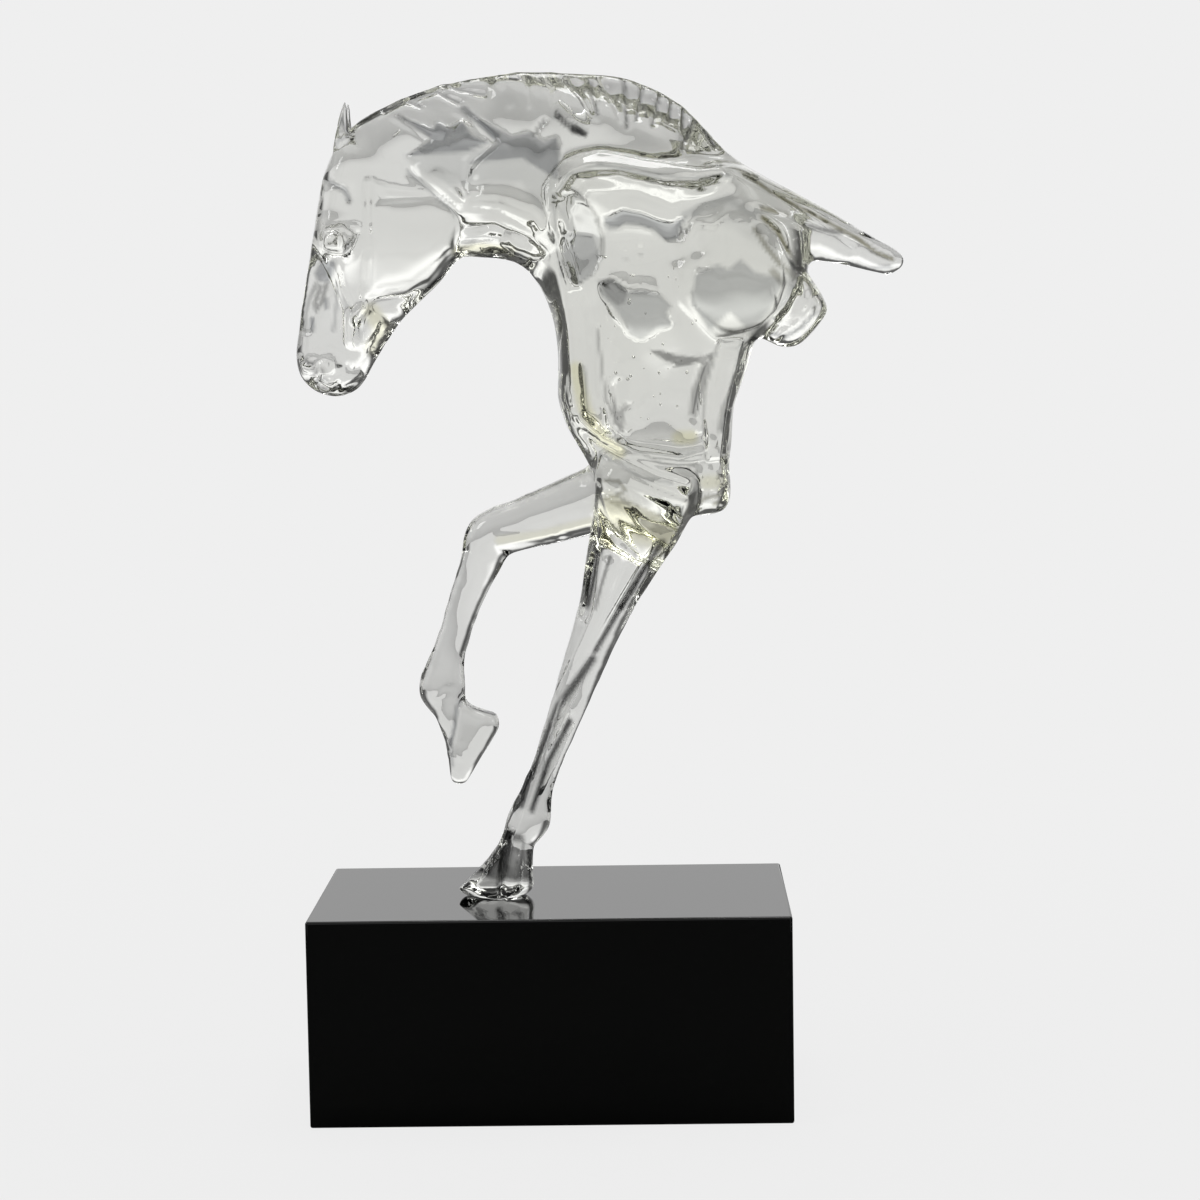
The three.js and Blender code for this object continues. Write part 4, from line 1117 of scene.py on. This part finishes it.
def floor_material(radius, backdrop):
    """Plain pale floor that reads as one sheet with the backdrop, with a faint soft shadow.

    Reflections and the resin see a dimmer floor than the camera does.
    """
    material = bpy.data.materials.new("pale_floor")
    material.use_nodes = True
    nodes, links = material.node_tree.nodes, material.node_tree.links
    matt = nodes["Principled BSDF"]
    through = nodes.new("ShaderNodeMapRange")
    set_inputs(through, {"To Min": FLOOR_TO_GLOSS, "To Max": FLOOR_TO_RESIN})
    dim = nodes.new("ShaderNodeMapRange")
    set_inputs(dim, {"To Min": FLOOR_TO_SOFT})
    set_inputs(matt, {"Roughness": 0.9, "Specular IOR Level": 0.0})
    glow = nodes.new("ShaderNodeEmission")
    glow.inputs["Color"].default_value = (backdrop, backdrop, backdrop, 1.0)
    mix = nodes.new("ShaderNodeMixShader")
    ray = nodes.new("ShaderNodeLightPath")
    share = nodes.new("ShaderNodeMath")
    share.operation = "MULTIPLY"
    place = nodes.new("ShaderNodeTexCoord")
    length = nodes.new("ShaderNodeVectorMath")
    length.operation = "LENGTH"
    fade = nodes.new("ShaderNodeMapRange")
    fade.interpolation_type = "SMOOTHSTEP"
    set_inputs(
        fade,
        {"From Min": 0.1, "From Max": radius * 0.4, "To Min": 0.94, "To Max": 1.0},
    )
    join(
        links,
        (place, "Object", length, 0),
        (length, "Value", fade, "Value"),
        (fade, "Result", share, 0),
        (ray, "Is Camera Ray", share, 1),
        (share, "Value", mix, "Fac"),
        (ray, "Is Transmission Ray", through, "Value"),
        (through, "Result", dim, "To Max"),
        (ray, "Is Glossy Ray", dim, "Value"),
        (dim, "Result", matt, "Base Color"),
        (matt, "BSDF", mix, 1),
        (glow, "Emission", mix, 2),
        (mix, "Shader", nodes["Material Output"], "Surface"),
    )
    return material


def soft_light(name, place, width, height, power):
    """A rectangular soft light on the sculpture, which the camera doesn't see."""
    light = bpy.data.lights.new(name, "AREA")
    light.shape = "RECTANGLE"
    light.size = width
    light.size_y = height
    light.energy = power
    lamp = bpy.data.objects.new(name, light)
    bpy.context.scene.collection.objects.link(lamp)
    lamp.location = place
    direction = Vector(LIGHT_AIM) - Vector(place)
    lamp.rotation_euler = direction.to_track_quat("-Z", "Y").to_euler()
    lamp.visible_camera = False
    return lamp


class SCULPTURE_OT_stage(bpy.types.Operator):
    """Sets the floor, the backdrop, the soft lights and the camera"""

    bl_idname = "sculpture.stage"
    bl_label = "Studio stage"

    def execute(self, context):
        scene = context.scene
        settings = getattr(scene, SETTINGS).stage
        bm = bmesh.new()
        bmesh.ops.create_circle(bm, cap_ends=True, radius=settings.floor_radius, segments=96)
        mesh = bpy.data.meshes.new("pale_floor")
        bm.to_mesh(mesh)
        bm.free()
        floor = bpy.data.objects.new("pale_floor", mesh)
        scene.collection.objects.link(floor)
        mesh.materials.append(floor_material(settings.floor_radius, settings.backdrop))
        floor.location.z = PLINTH_LOW.z - FLOOR_GAP
        scene.world = studio_world(settings.backdrop)
        for light in LIGHTS:
            soft_light(*light)
        lens = bpy.data.cameras.new("photo_view")
        lens.lens = settings.lens
        lens.sensor_width = 36.0
        lens.clip_start = 0.01
        camera = bpy.data.objects.new("photo_view", lens)
        scene.collection.objects.link(camera)
        azimuth, height, roll = settings.camera_turn
        camera.matrix_world = (
            Matrix.Translation(settings.camera_place)
            @ Matrix.Rotation(azimuth, 4, "Z")
            @ Matrix.Rotation(math.pi / 2 - height, 4, "X")
            @ Matrix.Rotation(roll, 4, "Z")
        )
        scene.camera = camera
        scene.view_settings.view_transform = "Standard"
        return {"FINISHED"}


class SCULPTURE_PT_panel(bpy.types.Panel):
    """Lists the sculpture's pieces and their settings"""

    bl_idname = "SCULPTURE_PT_panel"
    bl_label = "Resin horse"
    bl_space_type = "VIEW_3D"
    bl_region_type = "UI"
    bl_category = "Sculpture"

    def draw(self, context):
        settings = getattr(context.scene, SETTINGS)
        groups = (
            ("sculpture.horse", settings.resin),
            ("sculpture.plinth", settings.plinth),
            ("sculpture.stage", settings.stage),
        )
        for operator, group in groups:
            box = self.layout.box()
            box.operator(operator)
            for name in group.__annotations__:
                box.prop(group, name)


CLASSES = (
    ResinSettings,
    PlinthSettings,
    StageSettings,
    SculptureSettings,
    SCULPTURE_OT_horse,
    SCULPTURE_OT_plinth,
    SCULPTURE_OT_stage,
    SCULPTURE_PT_panel,
)


def register():
    """Registers the add-on's classes and puts its settings on the scene."""
    for cls in CLASSES:
        bpy.utils.register_class(cls)
    setattr(bpy.types.Scene, SETTINGS, bpy.props.PointerProperty(type=SculptureSettings))


def unregister():
    """Takes the settings off the scene again, and the classes in the opposite order."""
    delattr(bpy.types.Scene, SETTINGS)
    for cls in reversed(CLASSES):
        bpy.utils.unregister_class(cls)


def main():
    """Makes the pieces and the stage."""
    register()
    bpy.ops.sculpture.horse()
    bpy.ops.sculpture.plinth()
    bpy.ops.sculpture.stage()


if __name__ == "__main__":
    main()
